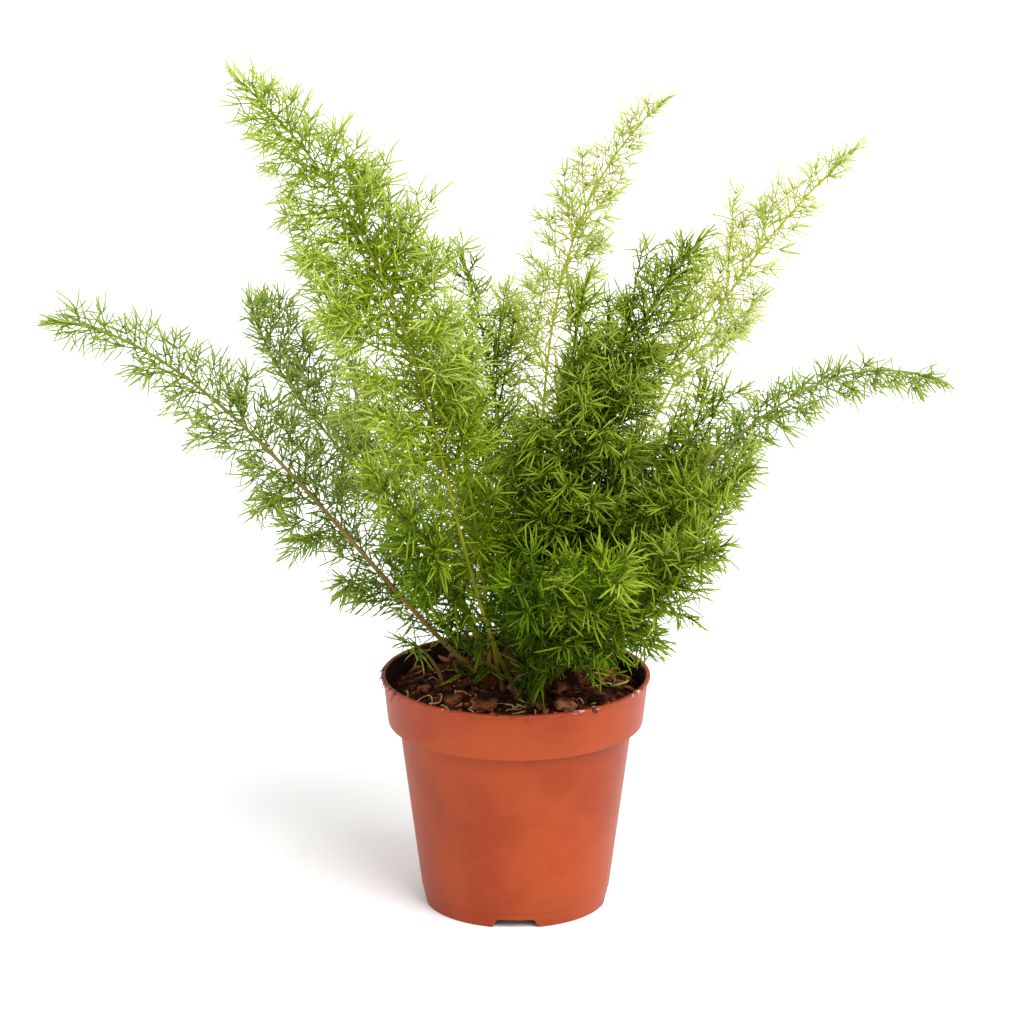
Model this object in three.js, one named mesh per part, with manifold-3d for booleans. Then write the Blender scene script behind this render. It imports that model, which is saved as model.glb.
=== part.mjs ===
// A young foxtail fern in its plastic nursery pot.
// Millimetres, +Z up; the origin is the centre of the pot's foot, on the surface it stands on.
//
// Every frond is one closed body that is grown without any boolean. Its stem is a chain of square
// rings. Where two rings stand close together, one is turned against the other by half a step,
// and each of the small triangles between them is drawn out, either to a point, which makes a
// needle, or into a three-sided side twig that ends in stars of needles of its own. Before
// anything is grown, it is tried against all that stands already.

import * as THREE from 'three';
import { mergeVertices } from 'three/addons/utils/BufferGeometryUtils.js';
import Module from 'manifold-3d';

const wasm = await Module();
wasm.setup();

// ---------------------------------------------------------------- driving dimensions

const GAP = 0.3; // between pieces that touch on the real plant

const POT = {
  height: 97,
  lipRadius: 55,
  lipHeight: 1.5,
  lipWidth: 1.6,
  collarHeight: 20,
  collarTopRadius: 54.3,
  collarBottomRadius: 52.1,
  bodyTopRadius: 47.8,
  footRadius: 37.8,
  footHeight: 6, // up to the faint step round the foot
  footStep: 0.35,
  footWidth: 1.6,
  wall: 1.2,
  floorTop: 5.4,
  edge: 0.4, // the lip's bevel
  segments: 36,
  notch: { count: 4, width: 19, topWidth: 14.4, height: 3.6 }, // through the foot ring
  drain: { radius: 4.5, ringRadius: 26, sides: 10 }, // one hole inside each notch, one in the middle
};

const SOIL = {
  edgeHeight: 88.6, // at the pot's wall
  fieldHeight: 90.6, // between the wall and the crown
  fallsFrom: 38, // the radius where the surface starts to fall to the wall
  moundHeight: 2.2, // how much the crown stands over the field
  moundRadius: 26,
  waveHeight: 0.5,
  fit: 0.5, // kept off the pot, whose flat facets come closer than its radius
  segments: 30,
  ringRadii: [42, 30, 19, 8],
};

// The stems stand round a middle, in plain holes that go down to a height in the soil.
const CROWN = { x: 3, y: 6, holeBottom: 80, holeSides: 6, holeRoom: 0.5 };

const STEM = { neck: 1.2, rootRadius: 1.15, tipRadius: 0.45, sides: 4, nodeSpacing: 20, bareStep: 22 };

const PLUME = { rootShare: 0.6, widestAt: 0.3, tipShare: 0.38, spread: 2 }; // shares of its half width

// A side twig's lean from the stem, its draw upwards, and from what length it has two stars.
const TWIG = { radius: 0.66, lean: 1.02, leanSpread: 0.12, upturn: 0.22, shortest: 5, twoStarsFrom: 16 };

// A needle is tried against its neighbours as a rod of a radius between its root's and its tip's.
const NEEDLE = { length: 10.8, spread: 1.2, base: 1.25, lean: 0.98, leanSpread: 0.16, radius: 0.4 };

const COLOUR = {
  pot: 0xc85c37,
  soil: 0x3a1c10,
  bark: 0x74402f,
  freshGreen: 0x9ab93c,
  paleGreen: 0xbdd069,
  midGreen: 0x6e9a2c,
  deepGreen: 0x43751c,
  stub: 0x8a4a36,
};

// Each stem is a cubic Bezier curve: its root on the crown (x, y), two handles and its tip. The
// plume is the foliage's greatest half width, and bare the share of the stem that carries none.
function stem(root, handleA, handleB, tip, plume, bare, colour) {
  return { root, handleA, handleB, tip, plume, bare, colour };
}

const FRONDS = {
  low_left: stem([-15, 10], [-61, -7, 139], [-117, -37, 248], [-177, -62, 260], 29, 0.17, 'midGreen'),
  tall_left: stem([0, -10], [-35, -55, 176], [-23, -64, 279], [-107, -31, 348], 44, 0.36, 'freshGreen'),
  bright_front: stem([-6, -4], [-14, -21, 140], [-17, -45, 186], [-25, -46, 236], 22, 0.16, 'freshGreen'),
  back_light: stem([6, 16], [16, 54, 159], [-4, 84, 258], [61, 100, 314], 27, 0.34, 'paleGreen'),
  right_light: stem([12, 13], [43, 42, 164], [75, 80, 238], [141, 98, 294], 28, 0.38, 'paleGreen'),
  low_right: stem([18, 9], [43, 31, 139], [112, 69, 230], [178, 92, 196], 24, 0.2, 'midGreen'),
  dark_left: stem([-12, 18], [-24, 33, 154], [-92, 57, 174], [-110, 76, 233], 30, 0.2, 'midGreen'),
  dark_left_tall: stem([-7, 13], [-68, 14, 134], [-54, 44, 205], [-86, 56, 260], 28, 0.2, 'midGreen'),
  dark_right: stem([12, 2], [24, -15, 155], [25, -35, 228], [72, -16, 281], 33, 0.12, 'deepGreen'),
  mid_left: stem([-3, 9], [0, 25, 153], [-6, 36, 213], [-22, 42, 262], 26, 0.14, 'deepGreen'),
  centre: stem([5, -4], [12, -14, 149], [16, -33, 208], [27, -34, 267], 30, 0.1, 'deepGreen'),
  right_high: stem([17, -3], [37, -16, 134], [52, -47, 175], [90, -62, 201], 29, 0.14, 'deepGreen'),
  right_front: stem([12, -9], [34, -36, 126], [48, -71, 158], [79, -100, 181], 29, 0.14, 'deepGreen'),
  right_low: stem([21, 3], [31, -5, 108], [53, -17, 137], [71, -30, 129], 21, 0.2, 'deepGreen'),
  front_middle: stem([5, -14], [6, -37, 131], [10, -82, 149], [9, -122, 175], 24, 0.08, 'deepGreen'),
  front_right: stem([10, -15], [21, -42, 127], [26, -79, 153], [33, -116, 175], 25, 0.1, 'deepGreen'),
  front_left: stem([-11, -9], [-15, -41, 134], [-31, -75, 173], [-56, -98, 211], 24, 0.12, 'deepGreen'),
  back_left: stem([-4, 22], [-1, 62, 124], [-14, 90, 177], [-34, 120, 219], 32, 0.2, 'deepGreen'),
  back_right: stem([3, 28], [18, 60, 124], [23, 86, 179], [46, 122, 208], 32, 0.2, 'deepGreen'),
  back_low_left: stem([-12, 26], [-6, 63, 102], [-29, 88, 141], [-50, 120, 157], 30, 0.25, 'midGreen'),
  back_low_right: stem([12, 23], [31, 61, 97], [56, 83, 144], [82, 120, 151], 32, 0.25, 'midGreen'),
  sprig_left: stem([-30, 4], [-33, 4, 101], [-38, 0, 108], [-44, -6, 112], 10, 0.5, 'midGreen'),
};

// Split slabs of bark: their middle (x, y), half sizes, and turn and tilt in degrees.
function chip(x, y, along, across, through, turn, tilt) {
  const angles = { turn: THREE.MathUtils.degToRad(turn), tilt: THREE.MathUtils.degToRad(tilt) };
  return { x, y, along, across, through, ...angles };
}

const BARK_CHIPS = [
  chip(24, -9, 7.0, 4.2, 1.7, 20, 52),
  chip(-12, -27, 5.6, 3.6, 1.6, 75, 12),
  chip(-26, -20, 6.4, 3.4, 1.6, -30, 10),
  chip(7, -33, 6.2, 3.8, 1.7, 10, -14),
  chip(33, -19, 6.0, 3.4, 1.5, -55, 12),
  chip(-38, -6, 5.2, 3.0, 1.4, 70, -10),
  chip(38, 12, 5.8, 3.4, 1.6, 100, 10),
  chip(20, 38, 6.2, 3.6, 1.6, 35, 12),
  chip(-24, 34, 5.8, 3.6, 1.5, -25, -12),
  chip(-6, -43, 4.6, 2.8, 1.3, 5, 8),
];

const CHIP = { swellLow: 0.82, swellHigh: 1.18, settle: 0.35, pocket: 2 * GAP };

// The snag of a stem that was cut off: it leans to one side above the soil.
const OLD_STUB = { x: 1, y: -20, top: 98, radius: 1.5, topShare: 0.7, lean: 4, sides: 5 };

// Foliage keeps this far off the pot and the soil, and out of a space over each chip and the stub.
const KEEP_OFF = { pot: 2 * GAP, rimWidth: 4, soil: 0.8, overChip: 3, chipShare: 1.2, stubRadius: 7 };

const SEED = { chips: 700, fronds: 40 };

// ---------------------------------------------------------------- small helpers

const UP = new THREE.Vector3(0, 0, 1);

// A repeatable stream of numbers from 0 to 1.
function randomStream(seed) {
  let state = seed >>> 0;
  return () => {
    state = (state + 0x6d2b79f5) >>> 0;
    let mixed = Math.imul(state ^ (state >>> 15), state | 1);
    mixed ^= mixed + Math.imul(mixed ^ (mixed >>> 7), mixed | 61);
    return ((mixed ^ (mixed >>> 14)) >>> 0) / 4294967296;
  };
}

// The geometry with its shared vertices merged and nothing but positions on it.
function weld(geometry) {
  geometry.deleteAttribute('normal');
  geometry.deleteAttribute('uv');
  return mergeVertices(geometry, 1e-4);
}

function toSolid(geometry) {
  const welded = weld(geometry);
  return new wasm.Manifold(new wasm.Mesh({
    numProp: 3,
    vertProperties: new Float32Array(welded.attributes.position.array),
    triVerts: new Uint32Array(welded.index.array),
  }));
}

function toGeometry(solid) {
  const mesh = solid.getMesh();
  return indexedGeometry(Array.from(mesh.vertProperties), Array.from(mesh.triVerts));
}

function indexedGeometry(coordinates, triangles) {
  const geometry = new THREE.BufferGeometry();
  geometry.setAttribute('position', new THREE.Float32BufferAttribute(coordinates, 3));
  geometry.setIndex(triangles);
  return geometry;
}

// A profile of [radius, height] points, which starts and ends on the axis, turned about +Z.
// The points run from the bottom outwards and up, so that the faces point out.
function turned(profile, segments) {
  const points = profile.map(([radius, height]) => new THREE.Vector2(radius, height));
  return new THREE.LatheGeometry(points, segments).rotateX(Math.PI / 2);
}

function upright(radius, sides, bottom, top, x, y) {
  const prism = new THREE.CylinderGeometry(radius, radius, top - bottom, sides);
  return prism.rotateX(Math.PI / 2).translate(x, y, (top + bottom) / 2);
}

function piece(name, geometry, colour, roughness, metalness = 0) {
  const material = new THREE.MeshStandardMaterial({ color: colour, roughness, metalness });
  material.flatShading = true;
  const mesh = new THREE.Mesh(geometry, material);
  mesh.name = name;
  return mesh;
}

// ---------------------------------------------------------------- the pot

const bodySlope = (POT.bodyTopRadius - POT.footRadius) / (POT.height - POT.collarHeight);
const collarSlope = (POT.collarTopRadius - POT.collarBottomRadius) / POT.collarHeight;
const collarBottom = POT.height - POT.collarHeight;

// The pot's outer radius at a height on its body or its collar.
function outerRadius(height) {
  if (height < collarBottom) return POT.footRadius + bodySlope * height;
  return POT.collarBottomRadius + collarSlope * (height - collarBottom);
}

function potProfile() {
  const { wall, edge, height, lipRadius, lipWidth, footHeight, footStep, footWidth, floorTop } = POT;
  const ledge = collarBottom + wall;
  const lipBottom = height - POT.lipHeight;
  const footOuter = POT.footRadius - footStep;
  return [
    [0, floorTop - wall],
    [footOuter - footWidth, floorTop - wall],
    [footOuter - footWidth, 0],
    [footOuter, 0],
    [outerRadius(footHeight) - footStep, footHeight],
    [outerRadius(footHeight), footHeight + footStep],
    [POT.bodyTopRadius, collarBottom],
    [POT.collarBottomRadius, collarBottom],
    [POT.collarTopRadius, lipBottom],
    [lipRadius, lipBottom + edge],
    [lipRadius, height - edge],
    [lipRadius - edge, height],
    [lipRadius - lipWidth, height],
    [outerRadius(lipBottom) - wall, lipBottom],
    [outerRadius(ledge) - wall, ledge],
    [POT.bodyTopRadius - wall, ledge],
    [outerRadius(floorTop) - wall, floorTop],
    [0, floorTop],
  ];
}

// A wedge-sided bar that cuts one notch through the foot ring, towards -Y.
function notchBar() {
  const { width, topWidth, height } = POT.notch;
  const below = 1;
  const slant = (width - topWidth) / 2 / height;
  const outline = new THREE.Shape([
    new THREE.Vector2(-width / 2 - slant * below, -below),
    new THREE.Vector2(width / 2 + slant * below, -below),
    new THREE.Vector2(topWidth / 2, height),
    new THREE.Vector2(-topWidth / 2, height),
  ]);
  const bar = new THREE.ExtrudeGeometry(outline, { depth: POT.footRadius / 2, bevelEnabled: false });
  return bar.rotateX(Math.PI / 2).translate(0, -0.75 * POT.footRadius, 0);
}

function drainPlug(x, y) {
  const { radius, sides } = POT.drain;
  return upright(radius, sides, POT.floorTop - 2 * POT.wall, POT.floorTop + POT.wall, x, y);
}

function makePot() {
  let pot = toSolid(turned(potProfile(), POT.segments)).subtract(toSolid(drainPlug(0, 0)));
  for (let i = 0; i < POT.notch.count; i++) {
    const turn = (i * 2 * Math.PI) / POT.notch.count;
    pot = pot.subtract(toSolid(notchBar().rotateZ(turn)));
    pot = pot.subtract(toSolid(drainPlug(0, -POT.drain.ringRadius).rotateZ(turn)));
  }
  return piece('pot', toGeometry(pot), COLOUR.pot, 0.42);
}

// ---------------------------------------------------------------- soil, bark and the old stub

// Shallow waves over the soil, from about -2 to 2.
function soilWaves(x, y) {
  return Math.sin(0.31 * x + 1.3) * Math.cos(0.27 * y) + Math.sin(0.17 * x - 0.43 * y);
}

// The soil's height at a place: level, with a low mound round the crown and a fall to the wall.
function soilHeight(x, y) {
  const { edgeHeight, fieldHeight, fallsFrom, moundHeight, moundRadius, waveHeight } = SOIL;
  const fall = THREE.MathUtils.smoothstep(Math.hypot(x, y), fallsFrom, POT.collarBottomRadius);
  const fromCrown = Math.hypot(x - CROWN.x, y - CROWN.y) / moundRadius;
  const mound = moundHeight * Math.exp(-(fromCrown ** 2));
  const level = THREE.MathUtils.lerp(fieldHeight, edgeHeight, fall);
  return level + mound + waveHeight * (1 - fall) * soilWaves(x, y);
}

function soilBlank() {
  const insideAt = (height) => outerRadius(height) - POT.wall - SOIL.fit;
  const ledge = collarBottom + POT.wall + SOIL.fit;
  const floor = POT.floorTop + GAP;
  const profile = [
    [0, floor],
    [insideAt(floor), floor],
    [POT.bodyTopRadius - POT.wall - SOIL.fit, ledge],
    [insideAt(ledge), ledge],
    [insideAt(SOIL.edgeHeight), SOIL.edgeHeight],
    ...SOIL.ringRadii.map((radius) => [radius, POT.height]),
    [0, POT.height],
  ];
  const blank = turned(profile, SOIL.segments);
  const spots = blank.attributes.position;
  for (let i = 0; i < spots.count; i++) {
    const isSurface = spots.getZ(i) > SOIL.edgeHeight + GAP;
    if (isSurface) spots.setZ(i, soilHeight(spots.getX(i), spots.getY(i)));
  }
  return blank;
}

// A slab of bark, grown by a margin all round for the pocket that it lies in.
function barkSlab({ x, y, along, across, through, turn, tilt }, index, margin) {
  const draw = randomStream(SEED.chips + index);
  const slab = weld(new THREE.IcosahedronGeometry(1, 0));
  const spots = slab.attributes.position;
  for (let i = 0; i < spots.count; i++) {
    const swell = THREE.MathUtils.lerp(CHIP.swellLow, CHIP.swellHigh, draw());
    spots.setXYZ(
      i,
      spots.getX(i) * (along * swell + margin),
      spots.getY(i) * (across * swell + margin),
      spots.getZ(i) * (through * swell + margin),
    );
  }
  slab.applyMatrix4(new THREE.Matrix4().makeRotationFromEuler(new THREE.Euler(0, -tilt, turn, 'ZYX')));
  const lift = CHIP.settle * through + 0.5 * along * Math.abs(Math.sin(tilt));
  return slab.translate(x, y, soilHeight(x, y) + lift);
}

// The old stub, grown by a margin for its hole: a peg that stands in the soil and leans over it.
function stubPeg(margin) {
  const { x, y, top, radius, topShare, lean, sides } = OLD_STUB;
  const heights = [CROWN.holeBottom - margin, soilHeight(x, y) + STEM.neck, top];
  const steps = heights.length - 1;
  const peg = new THREE.CylinderGeometry(topShare * radius + margin, radius + margin, steps, sides, steps);
  peg.rotateX(Math.PI / 2);
  const spots = peg.attributes.position;
  for (let i = 0; i < spots.count; i++) {
    const level = Math.round(spots.getZ(i) + steps / 2);
    const leaning = level === steps ? lean : 0;
    spots.setXYZ(i, spots.getX(i) + x - leaning, spots.getY(i) + y, heights[level]);
  }
  return peg;
}

function makeSoil() {
  let soil = toSolid(soilBlank());
  for (const { root } of Object.values(FRONDS)) {
    const radius = STEM.rootRadius + CROWN.holeRoom;
    const hole = upright(radius, CROWN.holeSides, CROWN.holeBottom - GAP, POT.height, ...root);
    soil = soil.subtract(toSolid(hole));
  }
  BARK_CHIPS.forEach((slab, index) => {
    soil = soil.subtract(toSolid(barkSlab(slab, index, CHIP.pocket)));
  });
  soil = soil.subtract(toSolid(stubPeg(CROWN.holeRoom)));
  return piece('soil', toGeometry(soil), COLOUR.soil, 0.95);
}

// ---------------------------------------------------------------- room between the twigs

// The shortest distance between two straight stretches, each from a point along a run.
function stretchDistance(startA, runA, startB, runB) {
  const { clamp } = THREE.MathUtils;
  const between = startA.clone().sub(startB);
  const squareA = runA.lengthSq();
  const squareB = runB.lengthSq();
  const across = runA.dot(runB);
  const alongA = runA.dot(between);
  const alongB = runB.dot(between);
  const spread = squareA * squareB - across * across;
  const firstShare = spread > 1e-9 ? clamp((across * alongB - alongA * squareB) / spread, 0, 1) : 0;
  const shareB = clamp((across * firstShare + alongB) / squareB, 0, 1);
  const shareA = clamp((across * shareB - alongA) / squareA, 0, 1);
  return between.addScaledVector(runA, shareA).addScaledVector(runB, -shareB).length();
}

// Everything that stands already, as round-ended rods. Rods that meet share a joint's name.
class Thicket {
  constructor() {
    this.rods = [];
  }

  add(from, to, radius, frond, joints) {
    const run = to.clone().sub(from);
    const middle = from.clone().addScaledVector(run, 0.5);
    const reach = run.length() / 2 + radius;
    this.rods.push({ from: from.clone(), run, middle, reach, radius, frond, joints });
  }

  hasRoom(from, to, radius, frond, joints) {
    const run = to.clone().sub(from);
    const middle = from.clone().addScaledVector(run, 0.5);
    const reach = run.length() / 2 + radius + 2 * GAP;
    if (!isClearOfPot(from, run, radius)) return false;
    return this.rods.every((rod) => {
      if (rod.middle.distanceTo(middle) > rod.reach + reach) return true;
      if (rod.joints.some((joint) => joints.includes(joint))) return true;
      const room = rod.frond === frond ? GAP / 2 : 1.3 * GAP;
      return stretchDistance(rod.from, rod.run, from, run) > rod.radius + radius + room;
    });
  }
}

// Whether a rod stays over the soil, the bark and the stub, and off the pot's rim.
function isClearOfPot(from, run, radius) {
  const margin = radius + KEEP_OFF.pot;
  const spot = new THREE.Vector3();
  for (let share = 0; share <= 1; share += 0.125) {
    spot.copy(from).addScaledVector(run, share);
    const fromAxis = Math.hypot(spot.x, spot.y);
    const isInside = fromAxis < POT.lipRadius - KEEP_OFF.rimWidth;
    if (isInside && spot.z < soilHeight(spot.x, spot.y) + KEEP_OFF.soil + margin) return false;
    if (!isInside && fromAxis < POT.lipRadius + margin && spot.z < POT.height + margin) return false;
    const hitsChip = BARK_CHIPS.some(({ x, y, along, tilt }) => {
      const top = soilHeight(x, y) + KEEP_OFF.overChip + along * Math.abs(Math.sin(tilt));
      const reach = along * KEEP_OFF.chipShare + margin;
      return Math.hypot(spot.x - x, spot.y - y) < reach && spot.z < top + margin;
    });
    const fromStub = Math.hypot(spot.x - OLD_STUB.x, spot.y - OLD_STUB.y);
    const hitsStub = fromStub < KEEP_OFF.stubRadius && spot.z < OLD_STUB.top + margin;
    if (hitsChip || hitsStub) return false;
  }
  return true;
}

// ---------------------------------------------------------------- fronds

// One closed body, as points and triangles that are added ring by ring.
class GrowingBody {
  constructor() {
    this.coordinates = [];
    this.triangles = [];
  }

  point(spot) {
    this.coordinates.push(spot.x, spot.y, spot.z);
    return this.coordinates.length / 3 - 1;
  }

  spot(index) {
    return new THREE.Vector3().fromArray(this.coordinates, 3 * index);
  }

  // Points round a centre, counter-clockwise about the axis, the first one turned from the side.
  ring(centre, axis, side, radius, count, turn) {
    const across = new THREE.Vector3().crossVectors(axis, side);
    return Array.from({ length: count }, (_, i) => {
      const angle = turn + (i * 2 * Math.PI) / count;
      const spot = centre.clone().addScaledVector(side, radius * Math.cos(angle));
      return this.point(spot.addScaledVector(across, radius * Math.sin(angle)));
    });
  }

  face(...corners) {
    for (let i = 1; i + 1 < corners.length; i++) this.triangles.push(corners[0], corners[i], corners[i + 1]);
  }

  // The walls of four corners between two rings of the same turn.
  straightWalls(lower, upper) {
    return lower.map((corner, i) => {
      const next = (i + 1) % lower.length;
      return [corner, lower[next], upper[next], upper[i]];
    });
  }

  // The triangles between two rings, of which the upper one is turned on by half a step.
  turnedWalls(lower, upper) {
    return lower.flatMap((corner, i) => {
      const next = (i + 1) % lower.length;
      return [[corner, lower[next], upper[i]], [lower[next], upper[next], upper[i]]];
    });
  }

  close(walls) {
    walls.forEach((wall) => this.face(...wall));
  }

  // Faces from each side of a ring or a wall to one point.
  drawOut(corners, tip) {
    corners.forEach((corner, i) => this.face(corner, corners[(i + 1) % corners.length], tip));
  }

  geometry() {
    return indexedGeometry(this.coordinates, this.triangles);
  }
}

class Frond {
  constructor(name, form, thicket, index) {
    const { root, handleA, handleB, tip } = form;
    this.name = name;
    this.form = form;
    this.curve = new THREE.CubicBezierCurve3(
      new THREE.Vector3(...root, soilHeight(...root) + STEM.neck),
      new THREE.Vector3(...handleA),
      new THREE.Vector3(...handleB),
      new THREE.Vector3(...tip),
    );
    this.foot = new THREE.Vector3(...root, CROWN.holeBottom);
    this.thicket = thicket;
    this.draw = randomStream(SEED.fronds + index);
    this.body = new GrowingBody();
    this.jointCount = 0;
    this.placeStem();
  }

  newJoint() {
    this.jointCount += 1;
    return `${this.name}-${this.jointCount}`;
  }

  vary(middle, swing) {
    return middle + swing * (2 * this.draw() - 1);
  }

  stemRadius(share) {
    return THREE.MathUtils.lerp(STEM.rootRadius, STEM.tipRadius, share);
  }

  // The plume's half width: widest below the middle, and narrow at the tip.
  reachAt(share) {
    const { rootShare, widestAt, tipShare } = PLUME;
    const { plume, bare } = this.form;
    const along = (share - bare) / (1 - bare);
    const width = along < widestAt
      ? THREE.MathUtils.lerp(rootShare, 1, along / widestAt)
      : THREE.MathUtils.lerp(1, tipShare, (along - widestAt) / (1 - widestAt));
    return Math.max(plume * width, NEEDLE.length + TWIG.shortest / 2);
  }

  // Sets the rings' places along the stem, bare steps first and then a node for each pair of
  // side twigs, and takes the stem's room before any foliage grows.
  placeStem() {
    const { bare } = this.form;
    const length = this.curve.getLength();
    const bareSteps = Math.max(1, Math.round((bare * length) / STEM.bareStep));
    this.bareShares = Array.from({ length: bareSteps }, (_, i) => (i / bareSteps) * bare);
    const leafyShare = 1 - bare - STEM.tipRadius * 6 / length;
    const gaps = Math.max(1, Math.round((leafyShare * length) / STEM.nodeSpacing) - 1);
    this.nodes = Array.from({ length: gaps + 1 }, (_, i) => ({
      share: bare + (i * leafyShare) / gaps,
      joint: this.newJoint(),
    }));
    const stops = [...this.bareShares.map((share) => ({ share })), ...this.nodes];
    this.thicket.add(this.foot, this.curve.getPointAt(0), STEM.rootRadius, this.name, []);
    stops.slice(1).forEach((stop, i) => {
      const { share, joint } = stops[i];
      const ends = [joint, stop.joint].filter((name) => name);
      const [from, to] = [this.curve.getPointAt(share), this.curve.getPointAt(stop.share)];
      this.thicket.add(from, to, this.stemRadius(share), this.name, ends);
    });
  }

  // The first of a list of directions and lengths that has room, or nothing.
  findRoom(from, tries, radius, joints) {
    for (const [direction, length] of tries) {
      const to = from.clone().addScaledVector(direction, length);
      if (this.thicket.hasRoom(from, to, radius, this.name, joints)) return to;
    }
    return null;
  }

  // Where a wall lies, and its directions out of the twig and round it.
  wallFrame(wall, axis) {
    const corners = wall.map((corner) => this.body.spot(corner));
    const from = corners.reduce((sum, spot) => sum.add(spot), new THREE.Vector3()).divideScalar(3);
    const [a, b, c] = corners;
    const out = new THREE.Vector3().crossVectors(b.clone().sub(a), c.clone().sub(a)).normalize();
    return { from, out, sideways: new THREE.Vector3().crossVectors(axis, out) };
  }

  // The direction that leans from an axis towards a wall's outside, swung round the axis.
  leaning({ out, sideways }, axis, lean, swing) {
    const heading = out.clone().multiplyScalar(Math.cos(swing)).addScaledVector(sideways, Math.sin(swing));
    return heading.multiplyScalar(Math.sin(lean)).addScaledVector(axis, Math.cos(lean));
  }

  // Draws a wall out into a needle that leans towards the twig's tip, or leaves the wall plain.
  growNeedle(wall, axis, joint) {
    const frame = this.wallFrame(wall, axis);
    const swings = [[0, 1], [0.3, 1], [-0.3, 1], [0.5, 0.8], [-0.5, 0.8], [0, 0.5]];
    const tries = swings.map(([swing, share]) => {
      const direction = this.leaning(frame, axis, this.vary(NEEDLE.lean, NEEDLE.leanSpread), swing);
      return [direction, this.vary(NEEDLE.length, NEEDLE.spread) * share];
    });
    const tip = this.findRoom(frame.from, tries, NEEDLE.radius, [joint]);
    if (!tip) {
      this.body.face(...wall);
      return;
    }
    this.thicket.add(frame.from, tip, NEEDLE.radius, this.name, [joint]);
    this.body.drawOut(wall, this.body.point(tip));
  }

  // Finds where a side twig can end, swung round the stem or shortened until it has room.
  findTwigEnd(frame, axis, joint, share) {
    const reach = this.vary(this.reachAt(share), PLUME.spread);
    const length = Math.max(reach - 0.8 * NEEDLE.length, TWIG.shortest);
    const tries = [1, 0.75, 0.5].flatMap((part) => [0, 0.4, -0.4, 0.75, -0.75].map((swing) => {
      const direction = this.leaning(frame, axis, this.vary(TWIG.lean, TWIG.leanSpread), swing);
      direction.addScaledVector(UP, TWIG.upturn).normalize();
      return [direction, Math.max(length * part, TWIG.shortest)];
    }));
    return this.findRoom(frame.from, tries, TWIG.radius, [joint]);
  }

  // Grows a side twig out of a wall: a stalk with one or two stars of needles and a point.
  growTwig(wall, axis, joint, share) {
    const { body } = this;
    const frame = this.wallFrame(wall, axis);
    const end = this.findTwigEnd(frame, axis, joint, share);
    if (!end) {
      this.growNeedle(wall, axis, joint);
      return;
    }
    const length = end.distanceTo(frame.from);
    const direction = end.clone().sub(frame.from).normalize();
    const side = body.spot(wall[0]).sub(frame.from);
    side.addScaledVector(direction, -side.dot(direction)).normalize();
    const stars = length > TWIG.twoStarsFrom ? [0.5, 1] : [1];
    let lower = wall;
    let joints = [joint];
    let previous = frame.from;
    stars.forEach((place, i) => {
      const turn = (2 * i * Math.PI) / 3;
      const base = frame.from.clone().addScaledVector(direction, length * place - NEEDLE.base);
      const crest = base.clone().addScaledVector(direction, NEEDLE.base);
      const ring = body.ring(base, direction, side, TWIG.radius, 3, turn);
      const crown = body.ring(crest, direction, side, TWIG.radius, 3, turn + Math.PI / 3);
      body.close(i === 0 ? body.straightWalls(lower, ring) : body.turnedWalls(lower, ring));
      const star = this.newJoint();
      this.thicket.add(previous, crest, TWIG.radius, this.name, [...joints, star]);
      for (const needleWall of body.turnedWalls(ring, crown)) this.growNeedle(needleWall, direction, star);
      lower = crown;
      joints = [star];
      previous = crest;
    });
    this.growPoint(lower, previous, direction, joints);
  }

  // Ends a stalk in a needle that runs on along it.
  growPoint(ring, from, axis, joints) {
    const tries = [0.9, 0.7, 0.5, 0.3].map((share) => [axis, NEEDLE.length * share]);
    const stump = from.clone().addScaledVector(axis, NEEDLE.base);
    const tip = this.findRoom(from, tries, NEEDLE.radius, joints) ?? stump;
    this.thicket.add(from, tip, NEEDLE.radius, this.name, joints);
    this.body.drawOut(ring, this.body.point(tip));
  }

  // A ring round the stem. The side that its corners are turned from is carried along.
  stemRing(share, offset, turn) {
    const axis = this.curve.getTangentAt(share);
    this.side.addScaledVector(axis, -this.side.dot(axis)).normalize();
    const centre = this.curve.getPointAt(share).addScaledVector(axis, offset);
    return this.body.ring(centre, axis, this.side, this.stemRadius(share), STEM.sides, turn);
  }

  // The bare stem, from its foot in the soil to where the foliage starts. Returns its last ring.
  growBareStem() {
    const { body } = this;
    this.side = new THREE.Vector3(1, 0, 0);
    const neck = this.curve.getPointAt(0);
    let lower = body.ring(this.foot, UP, this.side, STEM.rootRadius, STEM.sides, 0);
    body.face(...[...lower].reverse());
    this.bareShares.forEach((share, i) => {
      const isNeck = i === 0;
      const ring = isNeck
        ? body.ring(neck, UP, this.side, STEM.rootRadius, STEM.sides, 0)
        : this.stemRing(share, 0, 0);
      body.close(body.straightWalls(lower, ring));
      lower = ring;
    });
    return lower;
  }

  grow() {
    const { body } = this;
    const step = Math.PI / STEM.sides;
    let lower = this.growBareStem();
    this.nodes.forEach(({ share, joint }, i) => {
      const axis = this.curve.getTangentAt(share);
      const half = Math.max(1.3 * this.stemRadius(share), NEEDLE.base) / 2;
      const ring = this.stemRing(share, -half, (2 * i + 1) * step);
      const crown = this.stemRing(share, half, (2 * i + 2) * step);
      const isLast = i === this.nodes.length - 1;
      body.close(body.turnedWalls(lower, ring));
      body.turnedWalls(ring, crown).forEach((wall, k) => {
        const isTwig = !isLast && (k + 3 * i) % STEM.sides === 0;
        if (isTwig) this.growTwig(wall, axis, joint, share);
        else this.growNeedle(wall, axis, joint);
      });
      if (isLast) this.growPoint(crown, this.curve.getPointAt(share), axis, [joint]);
      lower = crown;
    });
    return piece(`frond_${this.name}`, body.geometry(), COLOUR[this.form.colour], 0.6);
  }
}

// ---------------------------------------------------------------- the plant

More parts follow.
